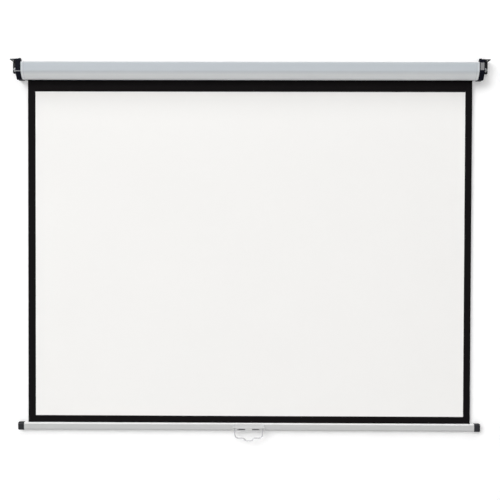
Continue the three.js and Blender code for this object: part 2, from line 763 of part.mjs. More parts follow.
function handleHousing() {
  const back = barFront - gap;
  const front = pivotY - bailWire / 2 - gap - housingSkin;
  const top = barTop - housingTopDrop;
  const bottom = barBottom + housingLip;
  const side = new THREE.Shape();
  side.moveTo(back, bottom);
  side.lineTo(back, top);
  side.lineTo(back - housingTopThickness / 2, top);
  side.quadraticCurveTo(back - housingTopThickness, top, back - housingTopThickness, top - housingTopThickness);
  side.quadraticCurveTo(back - housingTopThickness, pivotZ + bailWire / 2, front, pivotZ + bailWire / 2);
  side.lineTo(front, bottom + housingSkin);
  side.quadraticCurveTo(front, bottom, front + housingSkin, bottom);
  side.closePath();
  const face = roundedBox(-housingHalf, housingHalf, bottom, top,
    [housingSkin, housingSkin, housingCornerRadius, housingCornerRadius]);
  const body = common(prismX(side, -housingHalf, housingHalf), prismY(face, front - overrun, back + overrun));
  const half = bailWidth / 2;
  const room = bailWire / 2 + notchSideRoom;
  const cuts = [-1, 1].flatMap((s) => {
    const xs = (a, b) => (s > 0 ? [a, b] : [-b, -a]);
    return [
      rodX(...xs(windowOuter - bailWire, half), pivotY, pivotZ, bailWire / 2 + gap, 12),
      block(...xs(half - room, half + room), front - overrun, back + overrun, bottom - overrun, pivotZ + room),
      block(...xs(windowInner, windowOuter), front - overrun, front + windowDepth,
        pivotZ - windowHeight / 2, pivotZ + windowHeight / 2),
      prismY(circle(s * housingScrewX, housingScrewZ, housingScrewHead.shank + gap),
        front - overrun, back + overrun),
    ];
  });
  return cut(body, ...cuts);
}

// Right half of the bail's centre line, from the inner end of its leg to the lowest point
function bailPath() {
  const half = bailWidth / 2;
  const corner = [[half - bailBend - bailLeg, 0], [half - bailBend, 0]];
  const path = new THREE.CurvePath();
  const at = ([x, z]) => new THREE.Vector3(x, 0, z);
  const line = (a, b) => path.add(new THREE.LineCurve3(at(a), at(b)));
  const bend = (a, control, b) => path.add(new THREE.QuadraticBezierCurve3(at(a), at(control), at(b)));
  const rightSide = [
    () => line(...corner),
    () => bend(corner[1], [half, 0], [half, -bailBend]),
    () => line([half, -bailBend], [half, -bailSideDrop]),
    () => bend([half, -bailSideDrop], [half, -bailShoulderDrop], [bailShoulderOuter, -bailShoulderDrop]),
    () => line([bailShoulderOuter, -bailShoulderDrop], [bailShoulderInner, -bailShoulderDrop]),
    () => bend([bailShoulderInner, -bailShoulderDrop],
      [(bailShoulderInner + bailDipHalf) / 2, -bailShoulderDrop], [bailDipShoulder, -bailDrop + bailBend / 2]),
    () => bend([bailDipShoulder, -bailDrop + bailBend / 2], [bailDipHalf, -bailDrop], [0, -bailDrop]),
  ];
  rightSide.forEach((piece) => piece());
  const rightCurves = [...path.curves];
  rightCurves.reverse().forEach((curve) => {
    const points = curve instanceof THREE.LineCurve3
      ? [curve.v2, curve.v1] : [curve.v2, curve.v1, curve.v0];
    const flipped = points.map((p) => new THREE.Vector3(-p.x, p.y, p.z));
    path.add(flipped.length === 2
      ? new THREE.LineCurve3(...flipped) : new THREE.QuadraticBezierCurve3(...flipped));
  });
  return path;
}

function handleBail() {
  return new THREE.ExtrudeGeometry(circle(0, 0, bailWire / 2), {
    steps: 72, curveSegments: 4, extrudePath: bailPath(),
  }).translate(0, pivotY, pivotZ);
}

// Assembly
const group = new THREE.Group();

function add(name, geometry, finish) {
  const mesh = new THREE.Mesh(geometry, new THREE.MeshStandardMaterial(finishes[finish]));
  mesh.name = name;
  group.add(mesh);
}

add('case_shell', caseShell(), 'caseGrey');
add('end_cap_left', mirrored(endCap('idler')), 'blackPlastic');
add('end_cap_right', endCap('spear'), 'blackPlastic');
add('wall_bracket_left', mirrored(wallBracket()), 'blackSteel');
add('wall_bracket_right', wallBracket(), 'blackSteel');
screwChannels.forEach(([y, z], i) => {
  const place = i === 0 ? 'rear' : 'front';
  add(`cap_screw_left_${place}`, mirrored(capScrew(y, z)), 'steel');
  add(`cap_screw_right_${place}`, capScrew(y, z), 'steel');
});
add('retaining_screw_left', mirrored(retainingScrew()), 'steel');
add('retaining_screw_right', retainingScrew(), 'steel');
[['left', -1], ['right', 1]].forEach(([name, side]) => {
  add(`wall_screw_${name}`, frontScrew(wallScrewHead, side * screwX, -bracketSheet - gap, wallScrewHeight),
    'steel');
});

add('roller_tube', rollerTube(), 'steel');
add('fabric_wraps', fabricWraps(), 'blackFabric');
add('idler_plug', idlerPlug(), 'nylon');
add('idler_pin', idlerPin(), 'steel');
add('idler_bush', idlerBush(), 'nylon');
add('spring_shaft', springShaft(), 'steel');
add('ratchet_hub', ratchetHub(), 'steel');
add('drive_plug', drivePlug(), 'nylon');
add('pawl_pin', pawlPin(), 'steel');
add('pawl', pawl(), 'steel');
add('torsion_spring', torsionSpring(), 'springSteel');
add('spring_anchor', springAnchor(), 'nylon');
add('shaft_bearing', shaftBearing(), 'nylon');

add('screen_fabric', screenFabric(), 'picture');
add('fabric_hem', fabricHem(), 'blackFabric');
add('hem_rod', hemRod(), 'steel');
add('bottom_bar', bottomBar(), 'barGrey');
add('bar_cap_left', mirrored(barCap()), 'blackPlastic');
add('bar_cap_right', barCap(), 'blackPlastic');
add('handle_housing', handleHousing(), 'housingGrey');
[['left', -1], ['right', 1]].forEach(([name, side]) => {
  add(`housing_screw_${name}`, frontScrew(housingScrewHead, side * housingScrewX,
    barFront - gap - housingTopThickness - gap, housingScrewZ), 'steel');
});
add('handle_bail', handleBail(), 'steel');

export default group;
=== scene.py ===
"""Dresses and lights a manual pull-down projector screen, hung on its wall and drawn fully down.

Metres. X runs along the roller to the viewer's right, +Y into the wall and Z up. The origin lies on the wall
plane, midway between the brackets and level with the roller.
"""

import json
import logging
import math
from dataclasses import dataclass
from enum import Enum
from typing import Iterable, Sequence

import bmesh
import bpy
from mathutils import Matrix, Vector

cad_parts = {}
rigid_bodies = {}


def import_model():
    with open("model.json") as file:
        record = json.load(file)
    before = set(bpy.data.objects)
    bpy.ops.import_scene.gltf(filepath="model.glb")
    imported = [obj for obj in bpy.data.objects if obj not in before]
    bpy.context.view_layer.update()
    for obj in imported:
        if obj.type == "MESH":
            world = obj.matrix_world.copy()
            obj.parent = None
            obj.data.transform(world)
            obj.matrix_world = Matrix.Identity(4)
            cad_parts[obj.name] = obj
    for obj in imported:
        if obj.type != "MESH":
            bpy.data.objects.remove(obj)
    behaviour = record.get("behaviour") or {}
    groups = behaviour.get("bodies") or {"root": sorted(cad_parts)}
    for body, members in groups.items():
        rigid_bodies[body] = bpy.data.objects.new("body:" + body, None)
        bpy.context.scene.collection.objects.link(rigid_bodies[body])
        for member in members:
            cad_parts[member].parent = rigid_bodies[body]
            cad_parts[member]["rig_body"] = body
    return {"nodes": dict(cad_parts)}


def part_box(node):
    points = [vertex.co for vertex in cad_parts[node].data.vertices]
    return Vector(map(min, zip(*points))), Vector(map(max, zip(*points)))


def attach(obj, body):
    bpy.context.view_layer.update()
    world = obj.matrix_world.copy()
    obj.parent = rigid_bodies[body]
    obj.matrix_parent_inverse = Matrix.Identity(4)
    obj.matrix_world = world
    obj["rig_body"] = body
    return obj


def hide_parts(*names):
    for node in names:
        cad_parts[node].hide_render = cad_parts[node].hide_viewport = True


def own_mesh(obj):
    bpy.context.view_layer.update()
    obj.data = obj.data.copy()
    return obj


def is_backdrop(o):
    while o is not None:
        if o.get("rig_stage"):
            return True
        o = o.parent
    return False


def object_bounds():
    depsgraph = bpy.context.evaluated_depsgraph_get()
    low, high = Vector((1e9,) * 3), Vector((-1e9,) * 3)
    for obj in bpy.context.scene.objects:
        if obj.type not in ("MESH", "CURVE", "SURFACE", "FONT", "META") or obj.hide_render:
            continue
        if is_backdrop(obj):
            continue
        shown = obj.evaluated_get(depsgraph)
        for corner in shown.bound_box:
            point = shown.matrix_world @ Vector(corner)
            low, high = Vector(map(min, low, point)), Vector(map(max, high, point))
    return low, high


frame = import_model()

log = logging.getLogger("screen")

Point2 = tuple[float, float]
Point3 = tuple[float, float, float]
Colour = tuple[float, float, float]
Socket = bpy.types.NodeSocket
Material = bpy.types.Material

WHITE, BLACK = (1.0, 1.0, 1.0), (0.0, 0.0, 0.0)
PLAIN = (1.0, 1.0, 1.0)  # factors that leave a pattern's coordinates as they are
SAME_POINT = 2e-6  # points closer than this, in metres, are merged
FLAT_BEND = 1.0  # degrees within which neighbouring faces are one
ROUNDED_BEND = 34.0  # degrees from which an edge is rounded
ROUNDING_PARTS = 3


class Side(Enum):
    """The two ends of the screen."""

    LEFT = -1
    RIGHT = 1

    @property
    def word(self) -> str:
        """The side's name as the frame's nodes spell it."""
        return self.name.lower()


class Body(Enum):
    """The bodies that pieces ride on."""

    CASE = "case"
    ROLLER = "roller"
    BAR = "screen_bar"
    HANDLE = "handle"


class Grain(Enum):
    """Which way the fine marks of a metal run."""

    ALONG_X = (0.02, 1.0, 1.0)
    EVEN = (1.0, 1.0, 1.0)


def srgb(red: int, green: int, blue: int) -> Colour:
    """Linear colour of an 8-bit display colour.

    Args:
        red: Red, 0 to 255.
        green: Green, 0 to 255.
        blue: Blue, 0 to 255.

    Returns:
        The three linear channels.
    """
    shares = [value / 255 for value in (red, green, blue)]
    return tuple(share / 12.92 if share <= 0.04045 else ((share + 0.055) / 1.055) ** 2.4 for share in shares)


def toned(colour: Colour, factor: float, lift: float = 0.0) -> Colour:
    """A colour with each channel times a factor, plus a lift, and never past white."""
    return tuple(min(1.0, lift + factor * channel) for channel in colour)


class NodeBuilder:
    """A node tree with short ways to add, feed and join its nodes."""

    def __init__(self, tree: bpy.types.NodeTree) -> None:
        """Takes a tree over and empties it."""
        self.tree = tree
        tree.nodes.clear()

    def add(self, kind: str, inputs: dict[str | int, object] | None = None,
            **settings: object) -> bpy.types.Node:
        """Adds a node.

        Args:
            kind: The node's type name.
            inputs: A socket to follow or a value to hold, by the input's name or number.
            settings: Its properties.

        Returns:
            The node.
        """
        node = self.tree.nodes.new(kind)
        for key, value in settings.items():
            setattr(node, key, value)
        for key, value in (inputs or {}).items():
            if isinstance(value, Socket):
                self.tree.links.new(value, node.inputs[key])
            else:
                node.inputs[key].default_value = value
        return node

    def math(self, operation: str, *operands: Socket | float) -> Socket:
        """Adds a Math node for an operation on sockets and numbers, and gives its result."""
        return self.add("ShaderNodeMath", dict(enumerate(operands)), operation=operation).outputs[0]

    def spread(self, value: Socket, low: float, high: float, start: float = 0.3, end: float = 0.7) -> Socket:
        """Maps a pattern's value to a range.

        Args:
            value: The pattern.
            low: Result at the start.
            high: Result at the end.
            start: Value that gives low.
            end: Value that gives high.

        Returns:
            The mapped value.
        """
        inputs = {"Value": value, "From Min": start, "From Max": end, "To Min": low, "To Max": high}
        return self.add("ShaderNodeMapRange", inputs).outputs["Result"]

    def seen(self) -> Socket:
        """1 for a ray that shows a surface to the eye, straight, off metal or through glass.

        Returns:
            That share.
        """
        rays = self.add("ShaderNodeLightPath").outputs
        through = self.math("MAXIMUM", rays["Is Glossy Ray"], rays["Is Transmission Ray"])
        return self.math("MAXIMUM", rays["Is Camera Ray"], through)


class ShaderGraph(NodeBuilder):
    """A material's node tree with short ways to lay patterns over one another."""

    def __init__(self, name: str) -> None:
        """Makes an empty material.

        Args:
            name: The material's name.
        """
        self.material = bpy.data.materials.new(name)
        self.material.use_nodes = True
        super().__init__(self.material.node_tree)

    def place(self, scale: Sequence[float] = PLAIN, uv: str = "") -> Socket:
        """Pattern coordinates in metres times a scale.

        Args:
            scale: Factor along each axis.
            uv: Name of a UV map, or nothing for the piece's own object space.

        Returns:
            The coordinates.
        """
        source = (self.add("ShaderNodeUVMap", uv_map=uv).outputs["UV"] if uv
                  else self.add("ShaderNodeTexCoord").outputs["Object"])
        return self.add("ShaderNodeMapping", {"Vector": source, "Scale": scale}).outputs["Vector"]

    def axes(self, vector: Socket) -> tuple[Socket, ...]:
        """The three axes of a vector."""
        return tuple(self.add("ShaderNodeSeparateXYZ", {0: vector}).outputs)

    def noise(self, where: Socket | Sequence[float], scale: float, detail: float = 3.0,
              rough: float = 0.5) -> Socket:
        """Adds a noise pattern.

        Args:
            where: Coordinates, or factors on the piece's own.
            scale: Features per metre.
            detail: Number of finer layers.
            rough: Strength of the finer layers.

        Returns:
            The pattern's value.
        """
        vector = where if isinstance(where, Socket) else self.place(where)
        inputs = {"Vector": vector, "Scale": scale, "Detail": detail, "Roughness": rough}
        return self.add("ShaderNodeTexNoise", inputs).outputs["Fac"]

    def blend(self, share: Socket, first: Socket | Colour, second: Socket | Colour) -> Socket:
        """Mixes two colours.

        Args:
            share: How much of the second.
            first: A colour.
            second: A colour.

        Returns:
            The mixed colour.
        """
        pair = [value if isinstance(value, Socket) else (*value, 1.0) for value in (first, second)]
        return self.add("ShaderNodeMix", {"Factor": share, 6: pair[0], 7: pair[1]}, data_type="RGBA").outputs[2]

    def weave(self, across: Socket, down: Socket, thread: float) -> Socket:
        """A plain weave.

        Args:
            across: Place across the cloth.
            down: Place down the cloth.
            thread: Width of two threads.

        Returns:
            Height of the threads, from -1 to 1.
        """
        waves = [self.math("SINE", self.math("MULTIPLY", way, math.tau / thread)) for way in (across, down)]
        return self.math("MULTIPLY", *waves)

    def show(self, shader: Socket) -> Material:
        """Gives a shader out as the material's surface, and gives the material."""
        self.add("ShaderNodeOutputMaterial", {"Surface": shader})
        return self.material

    def surface(self, colour: Socket, rough: Socket, height: Socket, relief: float, metallic: float = 0.0,
                specular: float = 0.5, sheen: float = 0.0) -> Material:
        """Adds the surface shader and its bump.

        Args:
            colour: Base colour.
            rough: Roughness.
            height: Bump pattern.
            relief: Bump depth in metres.
            metallic: 0 or 1.
            specular: Specular level.
            sheen: Fibre sheen's weight.

        Returns:
            The material.
        """
        bump = self.add("ShaderNodeBump", {"Height": height, "Distance": relief, "Strength": 1.0})
        shader = self.add("ShaderNodeBsdfPrincipled", {
            "Base Color": colour, "Roughness": rough, "Normal": bump.outputs["Normal"], "Metallic": metallic,
            "Specular IOR Level": specular, "Sheen Weight": sheen})
        return self.show(shader.outputs["BSDF"])


@dataclass(frozen=True)
class LacqueredSheet:
    """Stove-lacquered metal: a thin even coat with faint draw lines, orange peel and rubbed corners.

    Each painted light band is a tone that comes in between two heights of the piece: a painted highlight along
    a rounded edge, or painted lift on a face that turns away from the lamps.
    The seam is a pressed line round both ends, given by its distance from the middle and its half width,
    painted darker as the shade in its groove, with a slightly paler rim outside it.
    """

    name: str
    coat: Colour
    shade: float = 0.93
    rough: float = 0.42
    specular: float = 0.5
    bands: tuple[tuple[float, float, Colour], ...] = ()
    seam: tuple[float, ...] = ()
    seam_dark: float = 0.13
    rim_pale: float = 0.12
    line_scale: float = 900
    cloud_scale: float = 6
    peel_scale: float = 1400
    rub_scale: float = 180
    relief: float = 0.00002

    def marked(self, graph: ShaderGraph, tone: Socket) -> Socket:
        """Lays the painted light bands and the seam's painted shade line over the coat.

        Args:
            graph: The material's nodes.
            tone: The coat's colour.

        Returns:
            The marked colour.
        """
        across, _, up = graph.axes(graph.place())
        # Painted light: each band paints a highlight or a lighter face in, by height.
        for start, end, tint in self.bands:
            tone = graph.blend(graph.spread(up, 0.0, 1.0, start, end), tone, tint)
        # Painted shade: the seam's dark line stands in for the shade in the pressed groove.
        if self.seam:
            place, half_width = self.seam
            outside = graph.math("SUBTRACT", graph.math("ABSOLUTE", across), place)
            rim = graph.spread(outside, 0.0, self.rim_pale, 0.0, half_width)
            line = graph.spread(graph.math("ABSOLUTE", outside), self.seam_dark, 0.0,
                                half_width / 2, half_width)
            tone = graph.blend(line, graph.blend(rim, tone, WHITE), BLACK)
        return tone

    def build(self) -> Material:
        """Makes the material.

        Returns:
            The material.
        """
        graph = ShaderGraph(self.name)
        lines = graph.noise(Grain.ALONG_X.value, self.line_scale, 2)
        cloudy = graph.noise(PLAIN, self.cloud_scale, 4)
        peel = graph.noise(PLAIN, self.peel_scale, 2)
        worn = graph.spread(graph.noise((1, 3, 3), self.rub_scale, 6, 0.7), 0.0, 1.0, 0.68, 0.75)
        uneven = graph.math("MULTIPLY_ADD", lines, 0.35, graph.math("MULTIPLY", cloudy, 0.45))
        tone = self.marked(graph, graph.blend(uneven, toned(self.coat, self.shade), self.coat))
        colour = graph.blend(graph.math("MULTIPLY", worn, 0.25), tone, toned(self.coat, 1.12))
        rough = graph.spread(graph.math("ADD", cloudy, graph.math("MULTIPLY", lines, 0.3)),
                             self.rough - 0.06, self.rough + 0.07, 0.4, 0.9)
        height = graph.math("MULTIPLY_ADD", lines, 0.5, peel)
        return graph.surface(colour, rough, height, self.relief, specular=self.specular)


@dataclass(frozen=True)
class MouldedPlastic:
    """Injection-moulded plastic with a fine spark-eroded texture and faint handling marks.

    The crease is a painted highlight along a crease, as its height, half its width and the depth in front of
    which it shows.
    """

    name: str
    colour: Colour
    rough: float = 0.38
    relief: float = 0.00003
    specular: float = 0.5
    crease: tuple[float, ...] = ()
    crease_tint: Colour = (0.75, 0.76, 0.78)
    spark_scale: float = 2600
    flow_scale: float = 22
    scuff_scale: float = 90

    def creased(self, graph: ShaderGraph, colour: Socket) -> Socket:
        """Lays the crease's painted highlight over the plastic.

        Args:
            graph: The material's nodes.
            colour: The plastic's colour.

        Returns:
            The creased colour.
        """
        # Painted highlight: a pale line where the crease would catch the light.
        height, half_width, front = self.crease
        _, deep, up = graph.axes(graph.place())
        away = graph.math("ABSOLUTE", graph.math("SUBTRACT", up, height))
        line = graph.math("MULTIPLY", graph.spread(away, 1.0, 0.0, 0.7 * half_width, 1.3 * half_width),
                          graph.math("LESS_THAN", deep, front))
        return graph.blend(line, colour, self.crease_tint)

    def build(self) -> Material:
        """Makes the material.

        Returns:
            The material.
        """
        graph = ShaderGraph(self.name)
        spark = graph.noise(PLAIN, self.spark_scale, 3)
        flow = graph.noise((0.6, 1, 1.6), self.flow_scale, 5)
        scuffs = graph.spread(graph.noise((9, 2, 1), self.scuff_scale, 8, 0.75), 0.0, 1.0, 0.66, 0.76)
        base = graph.blend(flow, toned(self.colour, 0.86), self.colour)
        colour = graph.blend(graph.math("MULTIPLY", scuffs, 0.35), base, toned(self.colour, 1.4, 0.012))
        if self.crease:
            colour = self.creased(graph, colour)
        rough = graph.math("ADD", graph.spread(flow, self.rough - 0.05, self.rough + 0.06),
                           graph.math("MULTIPLY", scuffs, 0.12))
        return graph.surface(colour, rough, spark, self.relief, specular=self.specular)


@dataclass(frozen=True)
class PowderCoat:
    """Powder-coated steel: a pebbled coat, rubbed where it was handled."""

    name: str
    colour: Colour
    rough: float = 0.5
    specular: float = 0.2
    pebble_scale: float = 1500
    cloud_scale: float = 30
    rub_scale: float = 140
    relief: float = 0.00005

    def build(self) -> Material:
        """Makes the material.

        Returns:
            The material.
        """
        graph = ShaderGraph(self.name)
        cells = graph.add("ShaderNodeTexVoronoi", {"Vector": graph.place(), "Scale": self.pebble_scale},
                          feature="SMOOTH_F1")
        cloudy = graph.noise(PLAIN, self.cloud_scale, 4)
        rubbed = graph.spread(graph.noise((1, 1, 4), self.rub_scale, 8, 0.72), 0.0, 1.0, 0.65, 0.74)
        base = graph.blend(cloudy, toned(self.colour, 0.8), self.colour)
        colour = graph.blend(graph.math("MULTIPLY", rubbed, 0.4), base, toned(self.colour, 1.6, 0.015))
        rough = graph.spread(cloudy, self.rough - 0.07, self.rough + 0.08)
        return graph.surface(colour, rough, cells.outputs["Distance"], self.relief, specular=self.specular)


@dataclass(frozen=True)
class PlatedSteel:
    """Bright plated or drawn steel with fine lines and small dull spots."""

    name: str
    colour: Colour
    rough: float = 0.28
    grain: Grain = Grain.EVEN
    line_scale: float = 1800
    spot_scale: float = 420
    relief: float = 0.000012

    def build(self) -> Material:
        """Makes the material.

        Returns:
            The material.
        """
        graph = ShaderGraph(self.name)
        lines = graph.noise(self.grain.value, self.line_scale, 3)
        spots = graph.spread(graph.noise(PLAIN, self.spot_scale, 6, 0.7), 0.0, 1.0, 0.58, 0.72)
        colour = graph.blend(graph.math("MULTIPLY", spots, 0.5), self.colour, toned(self.colour, 0.72))
        rough = graph.math("ADD", graph.spread(lines, self.rough - 0.06, self.rough + 0.08),
                           graph.math("MULTIPLY", spots, 0.15))
        return graph.surface(colour, rough, lines, self.relief, metallic=1.0)


@dataclass(frozen=True)
class ProjectionCloth:
    """Face of the picture cloth: matt white coating with a black frame, over a close weave.

    The pattern follows the UV map "cut", in metres from the middle of the cloth's upper edge. Under the case
    the coating is painted greyer, a painted shadow of the case that fades down over a given reach.
    """

    name: str
    white: Colour
    black: Colour
    half_picture: float
    top_line: float
    bottom_line: float
    print_shift: float = 0.0012
    print_waver: float = 0.0002
    waver_scale: float = 160
    cloud_scale: float = 3.5
    slub_stretch: Point3 = (40, 900, 1)
    thread: float = 0.0007
    eaves: float = 0.12
    eaves_tone: float = 0.88
    specular: float = 0.05
    relief: float = 0.00002

    def build(self) -> Material:
        """Makes the material.

        Returns:
            The material.
        """
        graph = ShaderGraph(self.name)
        flat = graph.place(uv="cut")
        side, down, _ = graph.axes(flat)
        across = graph.math("SUBTRACT", side, self.print_shift)
        waver = graph.math("MULTIPLY_ADD", graph.noise(flat, self.waver_scale, 3),
                           2 * self.print_waver, -self.print_waver)
        wide = graph.math("ADD", graph.math("ABSOLUTE", across), waver)
        low = graph.math("ADD", down, waver)
        ends = graph.math("MAXIMUM", graph.math("LESS_THAN", low, self.top_line),
                          graph.math("GREATER_THAN", low, self.bottom_line))
        border = graph.math("MAXIMUM", graph.math("GREATER_THAN", wide, self.half_picture), ends)
        weave = graph.weave(across, down, self.thread)
        cloudy = graph.noise(flat, self.cloud_scale, 3)
        slubs = graph.noise(graph.place(self.slub_stretch, "cut"), 1, 2)
        uneven = graph.math("MULTIPLY_ADD", slubs, 0.25, graph.math("MULTIPLY", cloudy, 0.6))
        tone = graph.blend(uneven, toned(self.white, 0.975), self.white)
        # Painted shadow: the case's shadow, greyest at the top of the cloth and fading downward.
        painted_shadow_share = graph.spread(down, 1.0, 0.0, self.top_line, self.top_line + self.eaves)
        tone = graph.blend(graph.math("POWER", painted_shadow_share, 2.0), tone, toned(self.white, self.eaves_tone))
        ink = graph.blend(graph.math("MULTIPLY_ADD", weave, 0.25, 0.5),
                          toned(self.black, 0.75), toned(self.black, 1.25))
        height = graph.math("MULTIPLY_ADD", weave, 0.5, graph.math("MULTIPLY", slubs, 0.4))
        return graph.surface(graph.blend(border, tone, ink), graph.spread(border, 0.88, 0.72, 0, 1), height,
                             self.relief, specular=self.specular)


@dataclass(frozen=True)
class BackingCloth:
    """Black light-stop coating on the reverse of the cloth, with its weave showing through."""

    name: str
    colour: Colour
    thread: float = 0.0007
    cloud_scale: float = 9
    specular: float = 0.3
    sheen: float = 0.1
    relief: float = 0.00002

    def build(self) -> Material:
        """Makes the material.

        Returns:
            The material.
        """
        graph = ShaderGraph(self.name)
        flat = graph.place(uv="cut")
        across, down, _ = graph.axes(flat)
        weave = graph.math("MULTIPLY_ADD", graph.weave(across, down, self.thread), 0.5, 0.5)
        cloudy = graph.noise(flat, self.cloud_scale, 4)
        tone = graph.blend(cloudy, toned(self.colour, 0.8), self.colour)
        colour = graph.blend(graph.math("MULTIPLY", weave, 0.5), tone, toned(self.colour, 1.5))
        return graph.surface(colour, graph.spread(cloudy, 0.68, 0.8), weave, self.relief,
                             specular=self.specular, sheen=self.sheen)


class FormTree(NodeBuilder):
    """A Geometry Nodes tree with named inputs that makes one kind of form."""

    def __init__(self, name: str, numbers: Sequence[str] = (), **others: str) -> None:
        """Makes a tree with its inputs.

        Args:
            name: The tree's name.
            numbers: Names of the inputs that are plain numbers.
            others: Socket kinds of the other inputs, by name with low lines for spaces.
        """
        super().__init__(bpy.data.node_groups.new(name, "GeometryNodeTree"))
        kinds = {"Geometry": "Geometry", "Finish": "Material", **dict.fromkeys(numbers, "Float"),
                 **{key.replace("_", " "): kind for key, kind in others.items()}}
        sockets = self.tree.interface
        sockets.new_socket("Geometry", in_out="OUTPUT", socket_type="NodeSocketGeometry")
        self.keys = {key: sockets.new_socket(key, in_out="INPUT", socket_type="NodeSocket" + kind).identifier
                     for key, kind in kinds.items()}
        self.given = self.add("NodeGroupInput").outputs

    def swept(self, path: Socket, profile: Socket) -> Socket:
        """The closed mesh of a profile drawn along a path."""
        inputs = {"Curve": path, "Profile Curve": profile, "Fill Caps": True}
        return self.add("GeometryNodeCurveToMesh", inputs).outputs["Mesh"]

    def close(self, geometry: Socket) -> "FormTree":
        """Realizes the instances, sets the finish and gives the result out.

        Args:
            geometry: What the tree has made.

        Returns:
            The tree.
        """
        real = self.add("GeometryNodeRealizeInstances", {"Geometry": geometry}).outputs["Geometry"]
        dress = self.add("GeometryNodeSetMaterial", {"Geometry": real, "Material": self.given["Finish"]})
        self.add("NodeGroupOutput", {"Geometry": dress.outputs["Geometry"]})
        return self

    def make(self, name: str, base: bpy.types.Mesh, finish: Material, **values: object) -> bpy.types.Object:
        """Runs the tree on a base mesh and keeps the result as a plain mesh.

        Args:
            name: The new piece's name.
            base: The mesh that the tree works from.
            finish: The piece's material.
            values: Inputs, by name with low lines for spaces.

        Returns:
            The finished piece.
        """
        source = link_object(name + "_base", base)
        modifier = source.modifiers.new("Form", "NODES")
        modifier.node_group = self.tree
        for key, value in {"Finish": finish, **values}.items():
            modifier[self.keys[key.replace("_", " ")]] = value
        piece = baked(name, source)
        smooth_by_angle(piece.data)
        return piece


def sweep_tree() -> FormTree:
    """Makes the tree that draws a closed outline out along X, closed at both ends.

    Returns:
        The tree.
    """
    form = FormTree("drawn_profile", ["Half Length"])
    half = form.given["Half Length"]
    ends = {key: form.add("ShaderNodeCombineXYZ", {"X": reach}).outputs["Vector"]
            for key, reach in (("Start", form.math("MULTIPLY", half, -1.0)), ("End", half))}
    line = form.add("GeometryNodeCurvePrimitiveLine", ends)
    outline = form.add("GeometryNodeMeshToCurve", {"Mesh": form.given["Geometry"]})
    return form.close(form.swept(line.outputs["Curve"], outline.outputs["Curve"]))


def wire_tree() -> FormTree:
    """Makes the tree that lays a round wire along a line of points.

    Returns:
        The tree.
    """
    form = FormTree("bent_wire", ["Wire Radius"], Sides="Int")
    path = form.add("GeometryNodeMeshToCurve", {"Mesh": form.given["Geometry"]})
    ring = form.add("GeometryNodeCurvePrimitiveCircle", {"Radius": form.given["Wire Radius"],
                                                         "Resolution": form.given["Sides"]})
    return form.close(form.swept(path.outputs["Curve"], ring.outputs["Curve"]))


def coil_tree() -> FormTree:
    """Makes the tree that winds a round wire into a spring about a line along X.

    Returns:
        The tree.
    """
    names = ["Turns", "Mean Radius", "Coil Length", "Wire Radius", "Left End", "Axis Y"]
    form = FormTree("wound_spring", names)
    turns, mean, length, wire, left, axis_y = (form.given[name] for name in names)
    spiral = form.add("GeometryNodeCurveSpiral", {"Resolution": 24, "Rotations": turns, "Start Radius": mean,
                                                  "End Radius": mean, "Height": length})
    ring = form.add("GeometryNodeCurvePrimitiveCircle", {"Resolution": 10, "Radius": wire})
    place = form.add("ShaderNodeCombineXYZ", {"X": left, "Y": axis_y})
    turn = form.add("GeometryNodeTransform", {
        "Geometry": form.swept(spiral.outputs["Curve"], ring.outputs["Curve"]),
        "Translation": place.outputs["Vector"], "Rotation": (0, math.pi / 2, 0)})
    return form.close(turn.outputs["Geometry"])


def scatter_tree() -> FormTree:
    """Makes the tree that sets one fastener at each point, along its "facing", with its own turn.

    Returns:
        The tree.
    """
    form = FormTree("set_fasteners", Fastener="Object", Turn_Seed="Int")
    info = form.add("GeometryNodeObjectInfo", {"Object": form.given["Fastener"]})
    facing = form.add("GeometryNodeInputNamedAttribute", {"Name": "facing"}, data_type="FLOAT_VECTOR")
    align = form.add("FunctionNodeAlignRotationToVector", {"Vector": facing.outputs["Attribute"]}, axis="Z")
    chance = form.add("FunctionNodeRandomValue", {3: math.tau, "Seed": form.given["Turn Seed"]},
                      data_type="FLOAT")
    spin = form.add("FunctionNodeAxisAngleToRotation", {"Angle": chance.outputs[1]})
    turn = form.add("FunctionNodeRotateRotation", {"Rotation": align.outputs["Rotation"],
                                                   "Rotate By": spin.outputs["Rotation"]},
                    rotation_space="LOCAL")
    scatter = form.add("GeometryNodeInstanceOnPoints", {
        "Points": form.given["Geometry"], "Instance": info.outputs["Geometry"],
        "Rotation": turn.outputs["Rotation"]})
    return form.close(scatter.outputs["Instances"])


def link_object(name: str, mesh: bpy.types.Mesh) -> bpy.types.Object:
    """Puts a mesh into the scene as an object at the origin.

    Args:
        name: The object's name.
        mesh: Its mesh.

    Returns:
        The object.
    """
    thing = bpy.data.objects.new(name, mesh)
    bpy.context.scene.collection.objects.link(thing)
    return thing


def baked(name: str, source: bpy.types.Object) -> bpy.types.Object:
    """Applies an object's modifiers into a new plain object and removes the old one.

    Args:
        name: The new object's name.
        source: The object with modifiers.

    Returns:
        The new object.
    """
    bpy.context.view_layer.update()
    evaluated = source.evaluated_get(bpy.context.evaluated_depsgraph_get())
    mesh = bpy.data.meshes.new_from_object(evaluated)
    mesh.name = name
    bpy.data.objects.remove(source)
    return link_object(name, mesh)


def mesh_of(form: bmesh.types.BMesh, name: str) -> bpy.types.Mesh:
    """Turns an edited form into a mesh and frees it.

    Args:
        form: The form.
        name: The mesh's name.

    Returns:
        The mesh.
    """
    mesh = bpy.data.meshes.new(name)
    form.to_mesh(mesh)
    form.free()
    return mesh


def shade_smooth(mesh: bpy.types.Mesh, degrees: float = 180.0) -> None:
    """Shades a mesh smooth.

    Args:
        mesh: The mesh.
        degrees: Edges that bend more than this stay sharp.
    """
    mesh.polygons.foreach_set("use_smooth", [True] * len(mesh.polygons))
    if degrees < 180.0:
        mesh.set_sharp_from_angle(angle=math.radians(degrees))


